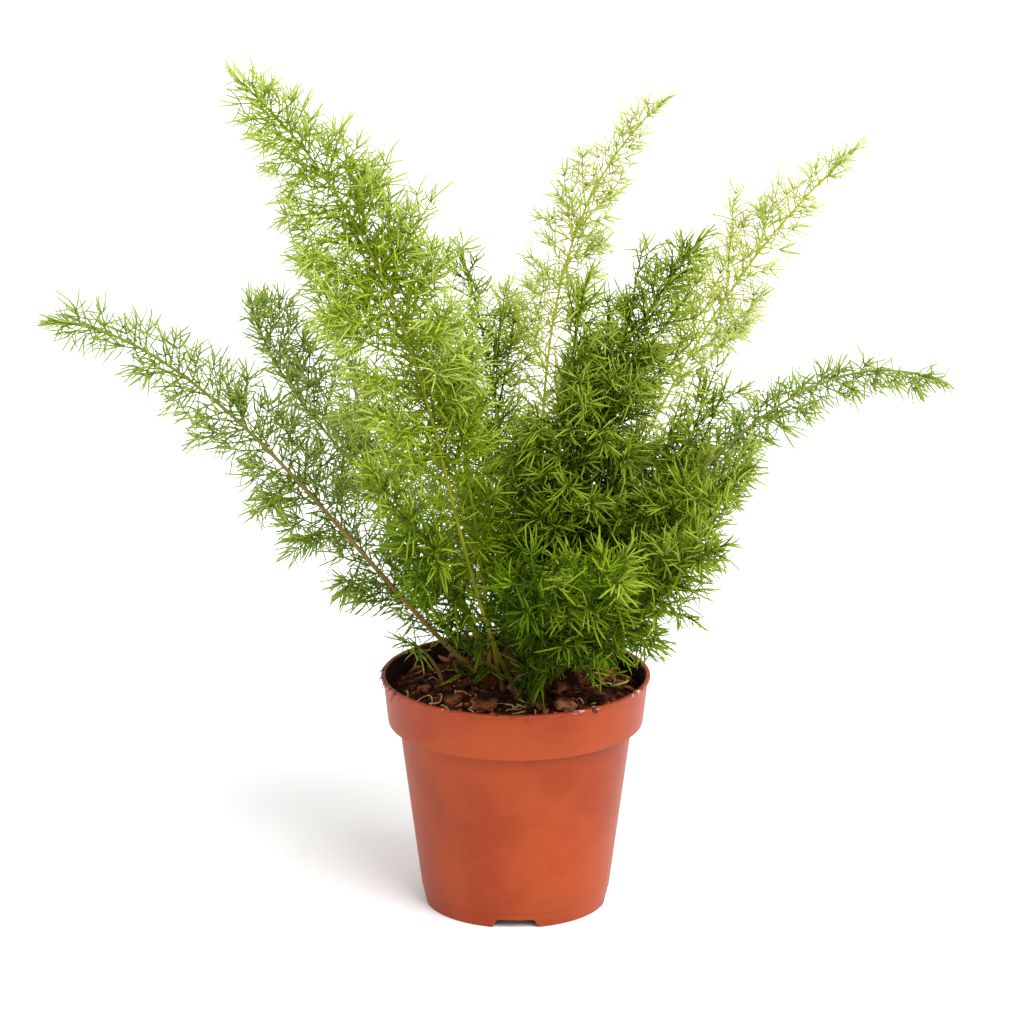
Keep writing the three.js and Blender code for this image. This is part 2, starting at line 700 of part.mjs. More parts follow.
const plant = new THREE.Group();
plant.add(makePot(), makeSoil());
BARK_CHIPS.forEach((slab, index) => {
  plant.add(piece(`bark_chip_${index + 1}`, barkSlab(slab, index, 0), COLOUR.bark, 0.85));
});
plant.add(piece('old_stub', weld(stubPeg(0)), COLOUR.stub, 0.8));

// Every stem takes its room first, and then the foliage grows between them.
const thicket = new Thicket();
const fronds = Object.entries(FRONDS).map(([name, form], index) => new Frond(name, form, thicket, index));
for (const frond of fronds) plant.add(frond.grow());

export default plant;
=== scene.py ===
"""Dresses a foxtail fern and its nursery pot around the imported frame.

Sizes in the classes are in millimetres, as the part's source has them. Meshes are made in metres,
and so are the places that a shader reads.
"""

import logging
import math
from collections.abc import Iterable, Mapping, Sequence
from dataclasses import dataclass, field
from enum import Enum
from typing import Any

import bmesh
import bpy
import numpy as np
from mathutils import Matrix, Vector, noise


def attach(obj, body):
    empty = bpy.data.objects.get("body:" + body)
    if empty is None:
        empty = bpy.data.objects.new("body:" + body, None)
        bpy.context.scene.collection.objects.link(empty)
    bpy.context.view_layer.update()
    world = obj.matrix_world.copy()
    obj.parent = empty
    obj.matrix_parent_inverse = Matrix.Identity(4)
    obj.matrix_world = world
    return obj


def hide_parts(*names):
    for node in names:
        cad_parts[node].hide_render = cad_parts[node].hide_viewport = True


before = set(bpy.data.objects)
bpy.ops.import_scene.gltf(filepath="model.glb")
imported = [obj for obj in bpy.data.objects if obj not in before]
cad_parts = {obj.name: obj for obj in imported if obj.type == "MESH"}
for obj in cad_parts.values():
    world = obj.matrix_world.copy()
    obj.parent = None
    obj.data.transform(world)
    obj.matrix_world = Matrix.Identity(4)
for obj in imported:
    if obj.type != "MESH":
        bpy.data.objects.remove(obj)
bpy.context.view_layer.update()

LOG = logging.getLogger("fern")
MM = 0.001
BODY = "root"
UV_LAYER = "OFBake"
FULL_TURN = 2 * math.pi
ABOUT_A_TURN = 6.3
GOLDEN_TURN = math.radians(137.508)
UP = np.array((0.0, 0.0, 1.0))

Pair = tuple[float, float]
Triple = tuple[float, float, float]
Colour = Triple
Stops = Sequence[tuple[float, Colour]]
Array = np.ndarray
Chance = np.random.Generator
Material = bpy.types.Material
Piece = bpy.types.Object


# ---- small sums


def unit(vectors: Array) -> Array:
    """Returns the vectors, each made one long."""
    return vectors / np.maximum(np.linalg.norm(vectors, axis=-1, keepdims=True), 1e-9)


def square_to(directions: Array, hint: Array) -> Array:
    """Returns the part of a hint that lies square to each direction, made one long."""
    return unit(hint - (hint * directions).sum(-1, keepdims=True) * directions)


def smoothstep(value: Array | float, low: float, high: float) -> Array | float:
    """Returns 0 below low, 1 above high and an even S between them."""
    share = np.clip((value - low) / (high - low), 0.0, 1.0)
    return share * share * (3 - 2 * share)


def circle(sides: int) -> Array:
    """Returns (sides, 3) points spaced evenly round a level circle of radius 1."""
    turn = np.arange(sides) * FULL_TURN / sides
    return np.stack((np.cos(turn), np.sin(turn), np.zeros(sides)), -1)


def rotation(about_x: float, about_y: float, about_z: float) -> Array:
    """Works out how to turn about X, then Y, then Z.

    Args:
        about_x: The first angle, in radians.
        about_y: The second.
        about_z: The third.

    Returns:
        The matrix, for columns.
    """
    (cx, sx), (cy, sy), (cz, sz) = (
        (math.cos(turn), math.sin(turn)) for turn in (about_x, about_y, about_z)
    )
    roll = np.array(((1, 0, 0), (0, cx, -sx), (0, sx, cx)))
    pitch = np.array(((cy, 0, sy), (0, 1, 0), (-sy, 0, cy)))
    yaw = np.array(((cz, -sz, 0), (sz, cz, 0), (0, 0, 1)))
    return yaw @ pitch @ roll


# ---- meshes


def linked(name: str, data: bpy.types.ID) -> Piece:
    """Makes an object of a mesh, a light or a camera, and puts it in the scene.

    Args:
        name: The object's name.
        data: What it shows.

    Returns:
        The object.
    """
    made = bpy.data.objects.new(name, data)
    bpy.context.scene.collection.objects.link(made)
    return made


class Skin:
    """Collects the points and faces of one piece, in millimetres, and makes its mesh."""

    def __init__(self) -> None:
        """Starts with nothing in it."""
        self.points: list[Array] = []
        self.faces: list[Array] = []
        self.places: list[Array] = []
        self.finishes: list[Array] = []
        self.count = 0

    def add(
        self, points: Array, faces: Array, places: Array | None = None, finish: int = 0
    ) -> "Skin":
        """Adds faces that all have the same number of corners.

        Args:
            points: (n, 3) corners, in millimetres.
            faces: (m, k) numbers of the corners of each face, counted from the first of points.
            places: (m, k, 2) places on the map of each face's corners, or None for no map.
            finish: The material slot that the faces wear.

        Returns:
            The same skin.
        """
        self.points.append(points)
        self.add_faces(faces + self.count, places, finish)
        self.count += len(points)
        return self

    def add_faces(self, faces: Array, places: Array | None = None, finish: int = 0) -> None:
        """Adds faces between corners that are there already.

        Args:
            faces: (m, k) numbers of corners, counted from the first of the whole skin.
            places: (m, k, 2) places on the map, or None for no map.
            finish: The material slot that the faces wear.
        """
        self.faces.append(faces)
        self.places.append(np.zeros((*faces.shape, 2)) if places is None else places)
        self.finishes.append(np.full(len(faces), finish))

    def tubes(self, paths: Array, radii: Array, sides: int, heights: Array | None = None) -> "Skin":
        """Adds round stems along several lines, each closed at both ends.

        Args:
            paths: (n, k, 3) points on each line.
            radii: (n, k) radius at each point.
            sides: How many sides each stem has.
            heights: (n, k) places up the stems' strip of the map, or None for no map.

        Returns:
            The same skin.
        """
        count, steps = paths.shape[:2]
        size, around = steps * sides, circle(sides)
        along = unit(np.gradient(paths, axis=1))
        hint = np.where(np.abs(along[:, :1, 2:]) > 0.8, np.array((1.0, 0.2, 0.0)), UP)
        first = square_to(along, np.broadcast_to(hint, along.shape))
        second = np.cross(along, first)
        ring = first[:, :, None] * around[:, :1] + second[:, :, None] * around[:, 1:2]
        points = (paths[:, :, None] + radii[:, :, None, None] * ring).reshape(-1, 3)
        starts = np.arange(count)[:, None] * size
        faces = (ring_quads(steps, sides)[None] + starts[:, None]).reshape(-1, 4)
        cap = np.arange(sides)
        places, end_places = None, [None, None]
        if heights is not None:
            edges = NeedleMap.stem_place(np.arange(sides + 1) / sides)
            places = strip_places(edges[:-1], edges[1:], heights)
            level = np.clip(heights[:, [0, -1]], 0.01, 0.99)
            middle = np.stack((np.full_like(level, NeedleMap.stem_place(0.5)), level), -1)
            end_places = [middle[:, end, None] + around[:, :2] * NeedleMap.cap for end in (0, 1)]
        first_point = self.count
        self.add(points, faces, places)
        ends = (starts + cap[::-1], starts + size - sides + cap)
        for end, spots in zip(ends, end_places):
            self.add_faces(first_point + end, spots)
        return self

    def piece(
        self,
        name: str,
        materials: Sequence[Material],
        sharp_from: float | None = None,
        mapped: bool = False,
    ) -> Piece:
        """Makes the mesh and its object.

        Args:
            name: The piece's name.
            materials: One material for each slot.
            sharp_from: The angle in degrees from which an edge looks sharp, or None for none.
            mapped: Whether the piece keeps its places as the map that its colours use.

        Returns:
            The piece, linked to the scene.
        """
        mesh = bpy.data.meshes.new(name)
        points = np.concatenate(self.points) * MM
        corners = np.concatenate([faces.ravel() for faces in self.faces])
        counts = np.concatenate([np.full(len(faces), faces.shape[1]) for faces in self.faces])
        mesh.vertices.add(len(points))
        mesh.vertices.foreach_set("co", points.ravel().astype(np.float32))
        mesh.loops.add(len(corners))
        mesh.loops.foreach_set("vertex_index", corners.astype(np.int32))
        mesh.polygons.add(len(counts))
        starts = np.concatenate(([0], np.cumsum(counts)[:-1]))
        mesh.polygons.foreach_set("loop_start", starts.astype(np.int32))
        for material in materials:
            mesh.materials.append(material)
        mesh.polygons.foreach_set("material_index", np.concatenate(self.finishes).astype(np.int32))
        mesh.update(calc_edges=True)
        mesh.polygons.foreach_set("use_smooth", np.ones(len(counts), dtype=bool))
        if mapped:
            layer = mesh.uv_layers.new(name=UV_LAYER)
            places = np.concatenate([places.reshape(-1, 2) for places in self.places])
            layer.uv.foreach_set("vector", places.ravel().astype(np.float32))
        mesh.validate()
        if sharp_from is not None:
            mesh.set_sharp_from_angle(angle=math.radians(sharp_from))
        return linked(name, mesh)


def hand_over(piece: Piece, slot: str, *nodes: str) -> Piece:
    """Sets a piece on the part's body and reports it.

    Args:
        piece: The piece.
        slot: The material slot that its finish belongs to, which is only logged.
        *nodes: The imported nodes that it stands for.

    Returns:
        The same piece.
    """
    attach(piece, BODY)
    if nodes:
        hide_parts(*nodes)
    LOG.info("%s: %d faces, slot %s", piece.name, len(piece.data.polygons), slot)
    return piece


def ball(subdivisions: int) -> tuple[Array, Array]:
    """Makes a ball of radius 1 from triangles.

    Args:
        subdivisions: How finely it is cut.

    Returns:
        Its (n, 3) points and the (m, 3) numbers of its triangles' corners.
    """
    form = bmesh.new()
    bmesh.ops.create_icosphere(form, subdivisions=subdivisions, radius=1.0)
    points = np.array([corner.co for corner in form.verts])
    faces = np.array([[corner.index for corner in face.verts] for face in form.faces])
    form.free()
    return points, faces


def ring_quads(rings: int, sides: int) -> Array:
    """Numbers the corners of the faces between rings of points that follow each other.

    Args:
        rings: How many rings there are.
        sides: How many points each has.

    Returns:
        (n, 4) numbers of corners.
    """
    ring, side = np.meshgrid(np.arange(rings - 1), np.arange(sides), indexing="ij")
    first, second = ring * sides + side, ring * sides + (side + 1) % sides
    return np.stack((first, second, second + sides, first + sides), -1).reshape(-1, 4)


def strip_places(left: Array, right: Array, heights: Array) -> Array:
    """Places the faces between rings of points on the map.

    Args:
        left: (k,) how far across the map each side starts.
        right: (k,) how far across it ends.
        heights: (..., n) how far up the map each ring is.

    Returns:
        (m, 4, 2) places, in the order of ring_quads.
    """
    low, high = heights[..., :-1], heights[..., 1:]
    across = np.stack((left, right, right, left), -1)
    rise = np.stack((low, low, high, high), -1)[..., None, :]
    return np.stack(np.broadcast_arrays(across, rise), -1).reshape(-1, 4, 2)


def turned(rings: Array, ends: Pair, downwards: bool = False) -> Skin:
    """Makes a closed form of rings round the upright axis.

    Args:
        rings: (n, k, 3) points of the rings, in the order of its section.
        ends: The heights where the section starts and ends on the axis.
        downwards: Whether the section runs from the top down.

    Returns:
        Its skin.
    """
    count, sides = rings.shape[:2]
    quads, side = ring_quads(count, sides), np.arange(sides)
    after, pole, last = (side + 1) % sides, count * sides, (count - 1) * sides
    first = np.stack((np.full(sides, pole), after, side), -1)
    second = np.stack((np.full(sides, pole + 1), last + side, last + after), -1)
    fans = np.concatenate((first, second))
    if downwards:
        quads, fans = quads[:, [0, 3, 2, 1]], fans[:, [0, 2, 1]]
    poles = np.array([(0.0, 0.0, height) for height in ends])
    skin = Skin().add(np.concatenate((rings.reshape(-1, 3), poles)), quads)
    skin.add_faces(fans)
    return skin


# ---- shader nodes


class Signal:
    """A shader socket that takes part in sums, each of which adds a Math node."""

    def __init__(self, sheet: "NodeSheet", socket: bpy.types.NodeSocket | None) -> None:
        """Keeps the socket, if there is one, and the sheet that it is on."""
        self.sheet = sheet
        self.socket = socket

    def _sum(self, operation: str, *terms: "Signal | float") -> "Signal":
        """Returns what a Math node makes of the terms."""
        return self.sheet.node("ShaderNodeMath", {"operation": operation}, dict(enumerate(terms)))

    def __add__(self, other: "Signal | float") -> "Signal":
        """Returns self + other."""
        return self._sum("ADD", self, other)

    __radd__ = __add__

    def __sub__(self, other: "Signal | float") -> "Signal":
        """Returns self - other."""
        return self._sum("SUBTRACT", self, other)

    def __rsub__(self, other: float) -> "Signal":
        """Returns other - self."""
        return self._sum("SUBTRACT", other, self)

    def __mul__(self, other: "Signal | float") -> "Signal":
        """Returns self * other."""
        return self._sum("MULTIPLY", self, other)

    __rmul__ = __mul__

    def __truediv__(self, other: float) -> "Signal":
        """Returns self / other."""
        return self._sum("DIVIDE", self, other)

    def __pow__(self, other: float) -> "Signal":
        """Returns self to a power."""
        return self._sum("POWER", self, other)

    def over(self, level: float) -> "Signal":
        """Returns 1 where the signal is above a level, and 0 elsewhere."""
        return self._sum("GREATER_THAN", self, level)

    def rise(self, low: float, high: float) -> "Signal":
        """Returns a soft step that is 0 at low and 1 at high."""
        sockets = {"Value": self, "From Min": low, "From Max": high}
        return self.sheet.node("ShaderNodeMapRange", {"interpolation_type": "SMOOTHSTEP"}, sockets)


class NodeSheet:
    """A new material and the nodes on it."""

    def __init__(self, name: str) -> None:
        """Makes an empty material.

        Args:
            name: The material's name.
        """
        self.material = bpy.data.materials.new(name)
        self.material.use_nodes = True
        self.tree = self.material.node_tree
        self.tree.nodes.clear()

    def node(
        self,
        kind: str,
        settings: Mapping[str, Any] | None = None,
        sockets: Mapping[str | int, Any] | None = None,
        output: int | str = 0,
    ) -> Signal:
        """Adds a node.

        Args:
            kind: The node's type.
            settings: Its own settings, which are set first. "stops" are a ramp's.
            sockets: A value or a Signal for each input, by name or number.
            output: The output that is wanted.

        Returns:
            That output.
        """
        made = self.tree.nodes.new(kind)
        for name, value in (settings or {}).items():
            if name == "stops":
                self._set_stops(made.color_ramp, value)
            else:
                setattr(made, name, value)
        for name, value in (sockets or {}).items():
            if isinstance(value, Signal):
                self.tree.links.new(value.socket, made.inputs[name])
            elif isinstance(value, tuple) and made.inputs[name].type == "RGBA":
                made.inputs[name].default_value = (*value, 1.0)
            else:
                made.inputs[name].default_value = value
        return Signal(self, made.outputs[output] if made.outputs else None)

    @staticmethod
    def _set_stops(ramp: bpy.types.ColorRamp, stops: Stops) -> None:
        """Gives a ramp its stops.

        Args:
            ramp: The ramp, which has two stops to begin with.
            stops: The place and the colour of each, in rising order.
        """
        while len(ramp.elements) < len(stops):
            ramp.elements.new(1.0)
        for element, (position, colour) in zip(ramp.elements, stops):
            element.position = position
            element.color = (*colour, 1.0)

    def ramp(self, value: Signal, stops: Stops) -> Signal:
        """Returns the colour that a ramp gives a value."""
        return self.node("ShaderNodeValToRGB", {"stops": stops}, {0: value})

    def mix(self, share: Signal | float, first: Signal | Colour, second: Signal | Colour) -> Signal:
        """Returns two colours mixed, where a share of 1 is all of the second."""
        return self.node("ShaderNodeMix", {"data_type": "RGBA"}, {0: share, 6: first, 7: second}, 2)

    def spot(self) -> Signal:
        """Returns the place on the piece, in metres."""
        return self.node("ShaderNodeTexCoord", output="Object")

    def stretched(self, *times: float) -> Signal:
        """Returns the place on the piece, multiplied along X, Y and Z."""
        sockets = {0: self.spot(), 1: times}
        return self.node("ShaderNodeVectorMath", {"operation": "MULTIPLY"}, sockets)

    def axis(self, place: Signal, name: str) -> Signal:
        """Returns one coordinate of a place."""
        return self.node("ShaderNodeSeparateXYZ", sockets={0: place}, output=name)

    def cloud(
        self, place: Signal, scale: float, detail: float = 2.0, roughness: float = 0.5
    ) -> Signal:
        """Returns soft noise from 0 to 1 with so many blots a metre."""
        sockets = {"Vector": place, "Scale": scale, "Detail": detail, "Roughness": roughness}
        return self.node("ShaderNodeTexNoise", sockets=sockets)

    def grains(self, place: Signal, scale: float) -> Signal:
        """Returns the distance to the nearest of so many grains a metre."""
        return self.node("ShaderNodeTexVoronoi", sockets={"Vector": place, "Scale": scale})

    def bump(self, height: Signal, depth: float, strength: float) -> Signal:
        """Returns a normal that follows a height, whose full depth is in millimetres."""
        sockets = {"Height": height, "Distance": depth * MM, "Strength": strength}
        return self.node("ShaderNodeBump", sockets=sockets)

    def principled(self, sockets: Mapping[str, Any]) -> Signal:
        """Returns a Principled shader."""
        return self.node("ShaderNodeBsdfPrincipled", sockets=sockets)

    def finish(self, surface: Signal) -> Material:
        """Makes a shader the material's surface, and returns the material."""
        self.node("ShaderNodeOutputMaterial", sockets={"Surface": surface})
        return self.material

    def coated(
        self, tone: Signal | Colour, rough: Signal | float, normal: Signal, shine: Mapping[str, float]
    ) -> Material:
        """Returns the material with one Principled surface, whose shine is the same all over."""
        sockets = {"Base Color": tone, "Roughness": rough, "Normal": normal, **shine}
        return self.finish(self.principled(sockets))


# ---- finishes


@dataclass(frozen=True)
class PotPlastic:
    """Satin polypropylene in a fired-clay colour, with faint flow marks, dirt and dust, and painted
    shade on the body below the collar, on the inner wall and under the foot.

    Each pair is where a change starts and where it is complete, in metres: from_ pairs are
    heights, and stain_left and stain_back are places on the lip.
    """

    clay: Colour = (0.272, 0.034, 0.0054)
    warm: Colour = (0.33, 0.049, 0.0086)
    rosy: Colour = (0.25, 0.04, 0.012)
    worn: Colour = (0.72, 0.26, 0.13)
    # painted shade: the body below the collar is darker than the collar
    shaded: Colour = (0.1, 0.012, 0.003)
    soiled: Colour = (0.06, 0.022, 0.01)
    # soil stain and painted shade inside the wall, and painted shade under the foot
    soil_and_shade_dark: Colour = (0.008, 0.003, 0.0016)
    crust: Colour = (0.75, 0.5, 0.42)
    from_collar: Pair = (0.074, 0.079)
    from_dirt: Pair = (0.0925, 0.0968)
    from_stain: Pair = (0.0955, 0.0965)
    from_crust: Pair = (0.0958, 0.0964)
    from_lip: Pair = (0.0958, 0.0966)
    stain_left: Pair = (0.012, 0.04)
    stain_back: Pair = (-0.035, -0.015)
    wall_foot: float = 0.0435
    wall_slope: float = 0.11
    smear_depth: float = 0.0006
    smear_foot: float = 0.079
    under_radius: float = 0.0362
    under_height: float = 0.0046

    def material(self) -> Material:
        """Sets out the nodes.

        Returns:
            The material.
        """
        sheet = NodeSheet("pot_plastic")
        spot = sheet.spot()
        x, y, height = (sheet.axis(spot, name) for name in "XYZ")
        away = (x * x + y * y) ** 0.5
        flow, fine = sheet.cloud(spot, 26, 3, 0.55), sheet.cloud(spot, 900, 2)
        scuffs = sheet.cloud(sheet.stretched(1.0, 1.0, 0.12), 560, 3, 0.6)
        dirt = sheet.cloud(spot, 330, 4, 0.65).rise(0.56, 0.66) * height.rise(*self.from_dirt)
        # soil stain and painted shade on the inner wall
        stain_and_shade = self._inside(away, height) * sheet.cloud(spot, 90, 4, 0.7).rise(0.26, 0.38)
        tone = self._moulded(sheet, flow.rise(0.38, 0.62), fine.rise(0.4, 0.7), height)
        tone = sheet.mix(dirt * 0.55 + self._splashes(sheet, x, y, height), tone, self.soiled)
        tone = sheet.mix(self._crusts(sheet, height), tone, self.crust)
        # painted shade: the inner wall, stained too, and the underside go near black
        tone = sheet.mix(stain_and_shade * 0.96 + self._shade_under(away, height) * 0.9, tone, self.soil_and_shade_dark)
        rough = 0.37 + flow * 0.1 + scuffs.rise(0.5, 0.75) * 0.08 + dirt * 0.3 + stain_and_shade * 0.4
        normal = sheet.bump(fine * 0.05 + scuffs * 0.12 + flow * 0.8, 0.09, 0.4)
        return sheet.coated(tone, rough, normal, {"IOR": 1.49, "Specular IOR Level": 0.19})

    def _moulded(self, sheet: NodeSheet, flow: Signal, wear: Signal, height: Signal) -> Signal:
        """Works out the colour of the clean plastic, with painted shade on the body below the collar.

        Args:
            sheet: The material's sheet.
            flow: Where the flow marks are.
            wear: Where the finest pale specks are.
            height: The height on the pot.

        Returns:
            The colour.
        """
        tone = sheet.mix(flow, self.clay, self.warm)
        streaks = sheet.cloud(sheet.stretched(1.0, 1.0, 9.0), 34, 3, 0.6)
        tone = sheet.mix(streaks.rise(0.5, 0.7) * 0.06, tone, self.soiled)
        blush = sheet.cloud(sheet.stretched(1.0, 1.0, 2.4), 17, 2)
        tone = sheet.mix(blush.rise(0.5, 0.74) * 0.45, tone, self.rosy)
        tone = sheet.mix(wear * 0.02, tone, self.worn)
        # painted shade: the body below the collar is darker
        return sheet.mix((1 - height.rise(*self.from_collar)) * 0.12, tone, self.shaded)

    def _splashes(self, sheet: NodeSheet, x: Signal, y: Signal, height: Signal) -> Signal:
        """Works out where soil has splashed, and the stain on the lip's left.

        Args:
            sheet: The material's sheet.
            x: The place across.
            y: The place from front to back.
            height: The height on the pot.

        Returns:
            How soiled the plastic is, from 0 to 1.
        """
        spot = sheet.spot()
        left = (0 - x).rise(*self.stain_left) * y.rise(*self.stain_back)
        stain = sheet.cloud(spot, 120, 4, 0.65).rise(0.4, 0.55) * left * height.rise(*self.from_stain)
        speck = (0.12 - sheet.grains(spot, 420)).rise(0.0, 0.06)
        return speck * sheet.cloud(spot, 60, 1).rise(0.5, 0.62) * 0.35 + stain * 0.5

    def _crusts(self, sheet: NodeSheet, height: Signal) -> Signal:
        """Returns where a pale crust of salts has dried on the lip, from 0 to 1."""
        area = sheet.cloud(sheet.spot(), 45, 1).rise(0.5, 0.56) * height.rise(*self.from_crust)
        return sheet.cloud(sheet.spot(), 240, 3, 0.6).rise(0.6, 0.63) * area * 0.8

    def _inside(self, away: Signal, height: Signal) -> Signal:
        """Returns 1 on the inner wall, for stain and painted shade, and 0 outside and on the lip."""
        within = (self.wall_foot + height * self.wall_slope - away).over(self.smear_depth)
        return within * height.over(self.smear_foot) * (1 - height.rise(*self.from_lip))

    def _shade_under(self, away: Signal, height: Signal) -> Signal:
        """Returns 1 on the underside within the foot, for painted shade, and 0 elsewhere."""
        return (self.under_radius - away).over(0.0) * (self.under_height - height).over(0.0)


@dataclass(frozen=True)
class CompostFinish:
    """Damp peat compost: brown crumbs, rusty fibres, and near black painted shade in its hollows."""

    hollow_shade: Colour = (0.004, 0.0014, 0.0007)
    crumb: Colour = (0.04, 0.011, 0.0036)
    rusty: Colour = (0.2, 0.05, 0.014)
    fibre: Colour = (0.16, 0.05, 0.018)

    def material(self) -> Material:
        """Sets out the nodes.

        Returns:
            The material.
        """
        sheet = NodeSheet("compost")
        spot = sheet.spot()
        lumps, grit = sheet.cloud(spot, 210, 4, 0.65), sheet.cloud(spot, 1600, 3, 0.7)
        fibres = sheet.cloud(sheet.stretched(0.5, 2.6, 1.0), 700, 3, 0.6)
        # painted shade: the lowest lumps, where the bump dips, are near black
        stops = ((0.34, self.hollow_shade), (0.52, self.crumb), (0.68, self.rusty), (0.8, self.crumb))
        tone = sheet.mix(fibres.rise(0.6, 0.74) * 0.4, sheet.ramp(lumps, stops), self.fibre)
        normal = sheet.bump(lumps * 0.7 + grit * 0.5 + fibres * 0.3, 0.9, 0.8)
        return sheet.coated(tone, 0.78 + grit * 0.2, normal, {"Specular IOR Level": 0.08})


@dataclass(frozen=True)
class BarkFinish:
    """Split bark: rusty brown with a grain. Its dark, along the grain and in patches, is painted
    shade, and its pale patches are painted light.
    """

    # painted shade
    dark: Colour = (0.022, 0.007, 0.003)
    red: Colour = (0.26, 0.07, 0.027)
    # painted light
    pale: Colour = (0.47, 0.18, 0.075)

    def material(self) -> Material:
        """Sets out the nodes.

        Returns:
            The material.
        """
        sheet = NodeSheet("split_bark")
        spot = sheet.spot()
        grain = sheet.cloud(sheet.stretched(0.8, 2.2, 1.6), 420, 4, 0.6)
        patches, grit = sheet.cloud(spot, 105, 2), sheet.cloud(spot, 1900, 2)
        # painted shade and painted light: dark and pale patches round the rusty red
        tone = sheet.ramp(patches, ((0.4, self.dark), (0.51, self.red), (0.66, self.pale)))
        # painted shade along the grain
        tone = sheet.mix(grain.rise(0.44, 0.62) * 0.6, tone, self.dark)
        normal = sheet.bump(grain + grit * 0.4, 0.8, 0.9)
        return sheet.coated(tone, 0.66 + patches * 0.25, normal, {"Specular IOR Level": 0.12})


@dataclass(frozen=True)
class FibreFinish:
    """A dry root or stalk: one tone with pale and dark stretches."""

    name: str
    tone: Colour
    dark: Colour

    def material(self) -> Material:
        """Sets out the nodes.

        Returns:
            The material.
        """
        sheet = NodeSheet(self.name)
        spot = sheet.spot()
        streaks = sheet.cloud(spot, 260, 3, 0.6)
        tone = sheet.mix(streaks.rise(0.42, 0.66), self.tone, self.dark)
        normal = sheet.bump(sheet.cloud(spot, 2400, 2), 0.12, 0.6)
        return sheet.coated(tone, 0.6 + streaks * 0.2, normal, {"IOR": 1.4})


class NeedleMap:
    """How a frond's map is laid out: needles by their tint, and beside them the stems by height.

    low, wide and half are the needles' strip and half a needle's width on it, and edge is where
    the strip ends. The stems' strip starts at stem_low and is stem_wide wide. A stem fills it up
    to stem_top, and its twigs start at twig_foot. cap is the radius of the end of a stem.
    """

    low: float = 0.012
    wide: float = 0.70
    half: float = 0.006
    cap: float = 0.006
    edge: float = 0.755
    stem_low: float = 0.80
    stem_wide: float = 0.17
    stem_top: float = 0.9
    twig_foot: float = 0.95

    @classmethod
    def tint_place(cls, tint: Array) -> Array:
        """Returns the place across the map of needles of a tint from 0 to 1."""
        return cls.low + cls.half + cls.wide * tint

    @classmethod
    def stem_place(cls, share: Array | float) -> Array | float:
        """Returns the place across the map at a share of the way round a stem."""
        return cls.stem_low + cls.stem_wide * share


@dataclass(frozen=True)
class FoliageFinish:
    """Needles and their stems: soft green that lets some light through.

    A needle goes from deep to tip by its tint, and glow is the light that comes through it. The
    stem is woody_to of the way up the colour of stem_foot, and then turns green up to stem_tip.
    """

    name: str
    deep: Colour
    green: Colour
    bright: Colour
    tip: Colour
    glow: Colour
    stem: Colour
    stem_tip: Colour
    twig: Colour
    stem_foot: Colour = (0.24, 0.1, 0.045)
    woody_to: float = 0.03
    thinness: float = 0.34

    def material(self) -> Material:
        """Sets out the nodes.

        Returns:
            The material.
        """
        sheet = NodeSheet(self.name)
        place = sheet.node("ShaderNodeUVMap", {"uv_map": UV_LAYER})
        across, along = sheet.axis(place, "X"), sheet.axis(place, "Y")
        tint = (across - NeedleMap.low) / (NeedleMap.wide + 2 * NeedleMap.half)
        stops = ((0.0, self.deep), (0.34, self.green), (0.66, self.bright), (1.0, self.tip))
        needle = sheet.ramp(tint, stops)
        needle = sheet.mix((1 - along.rise(0.0, 0.3)) * 0.45, needle, self.stem)
        needle = sheet.mix(along.rise(0.8, 1.0) * 0.16, needle, self.tip)
        green_from = 2.2 * self.woody_to + 0.01
        woody = ((0.0, self.stem_foot), (self.woody_to, self.stem_foot), (green_from, self.stem))
        ends = ((NeedleMap.stem_top, self.stem_tip), (NeedleMap.twig_foot - 0.02, self.twig))
        stem = sheet.ramp(along, (*woody, *ends))
        tone = sheet.mix(across.over(NeedleMap.edge), needle, stem)
        shine = {"Roughness": 0.52, "IOR": 1.4, "Specular IOR Level": 0.06}
        face = sheet.principled({"Base Color": tone, **shine})
        back = sheet.node("ShaderNodeBsdfTranslucent", sockets={"Color": self.glow})
        sockets = {0: self.thinness, 1: face, 2: back}
        return sheet.finish(sheet.node("ShaderNodeMixShader", sockets=sockets))


@dataclass(frozen=True)
class FloorFinish:
    """A plain white studio floor."""

    white: Colour = (0.9, 0.9, 0.9)

    def material(self) -> Material:
        """Returns the material."""
        sheet = NodeSheet("studio_floor")
        return sheet.finish(sheet.principled({"Base Color": self.white, "Roughness": 0.9, "IOR": 1.2}))


# ---- pot


def level_rings(radii: Array, heights: Array, sides: int) -> Array:
    """Returns (n, sides, 3) points of level rings, from the radius and the height of each."""
    return radii[:, None, None] * circle(sides) + heights[:, None, None] * UP


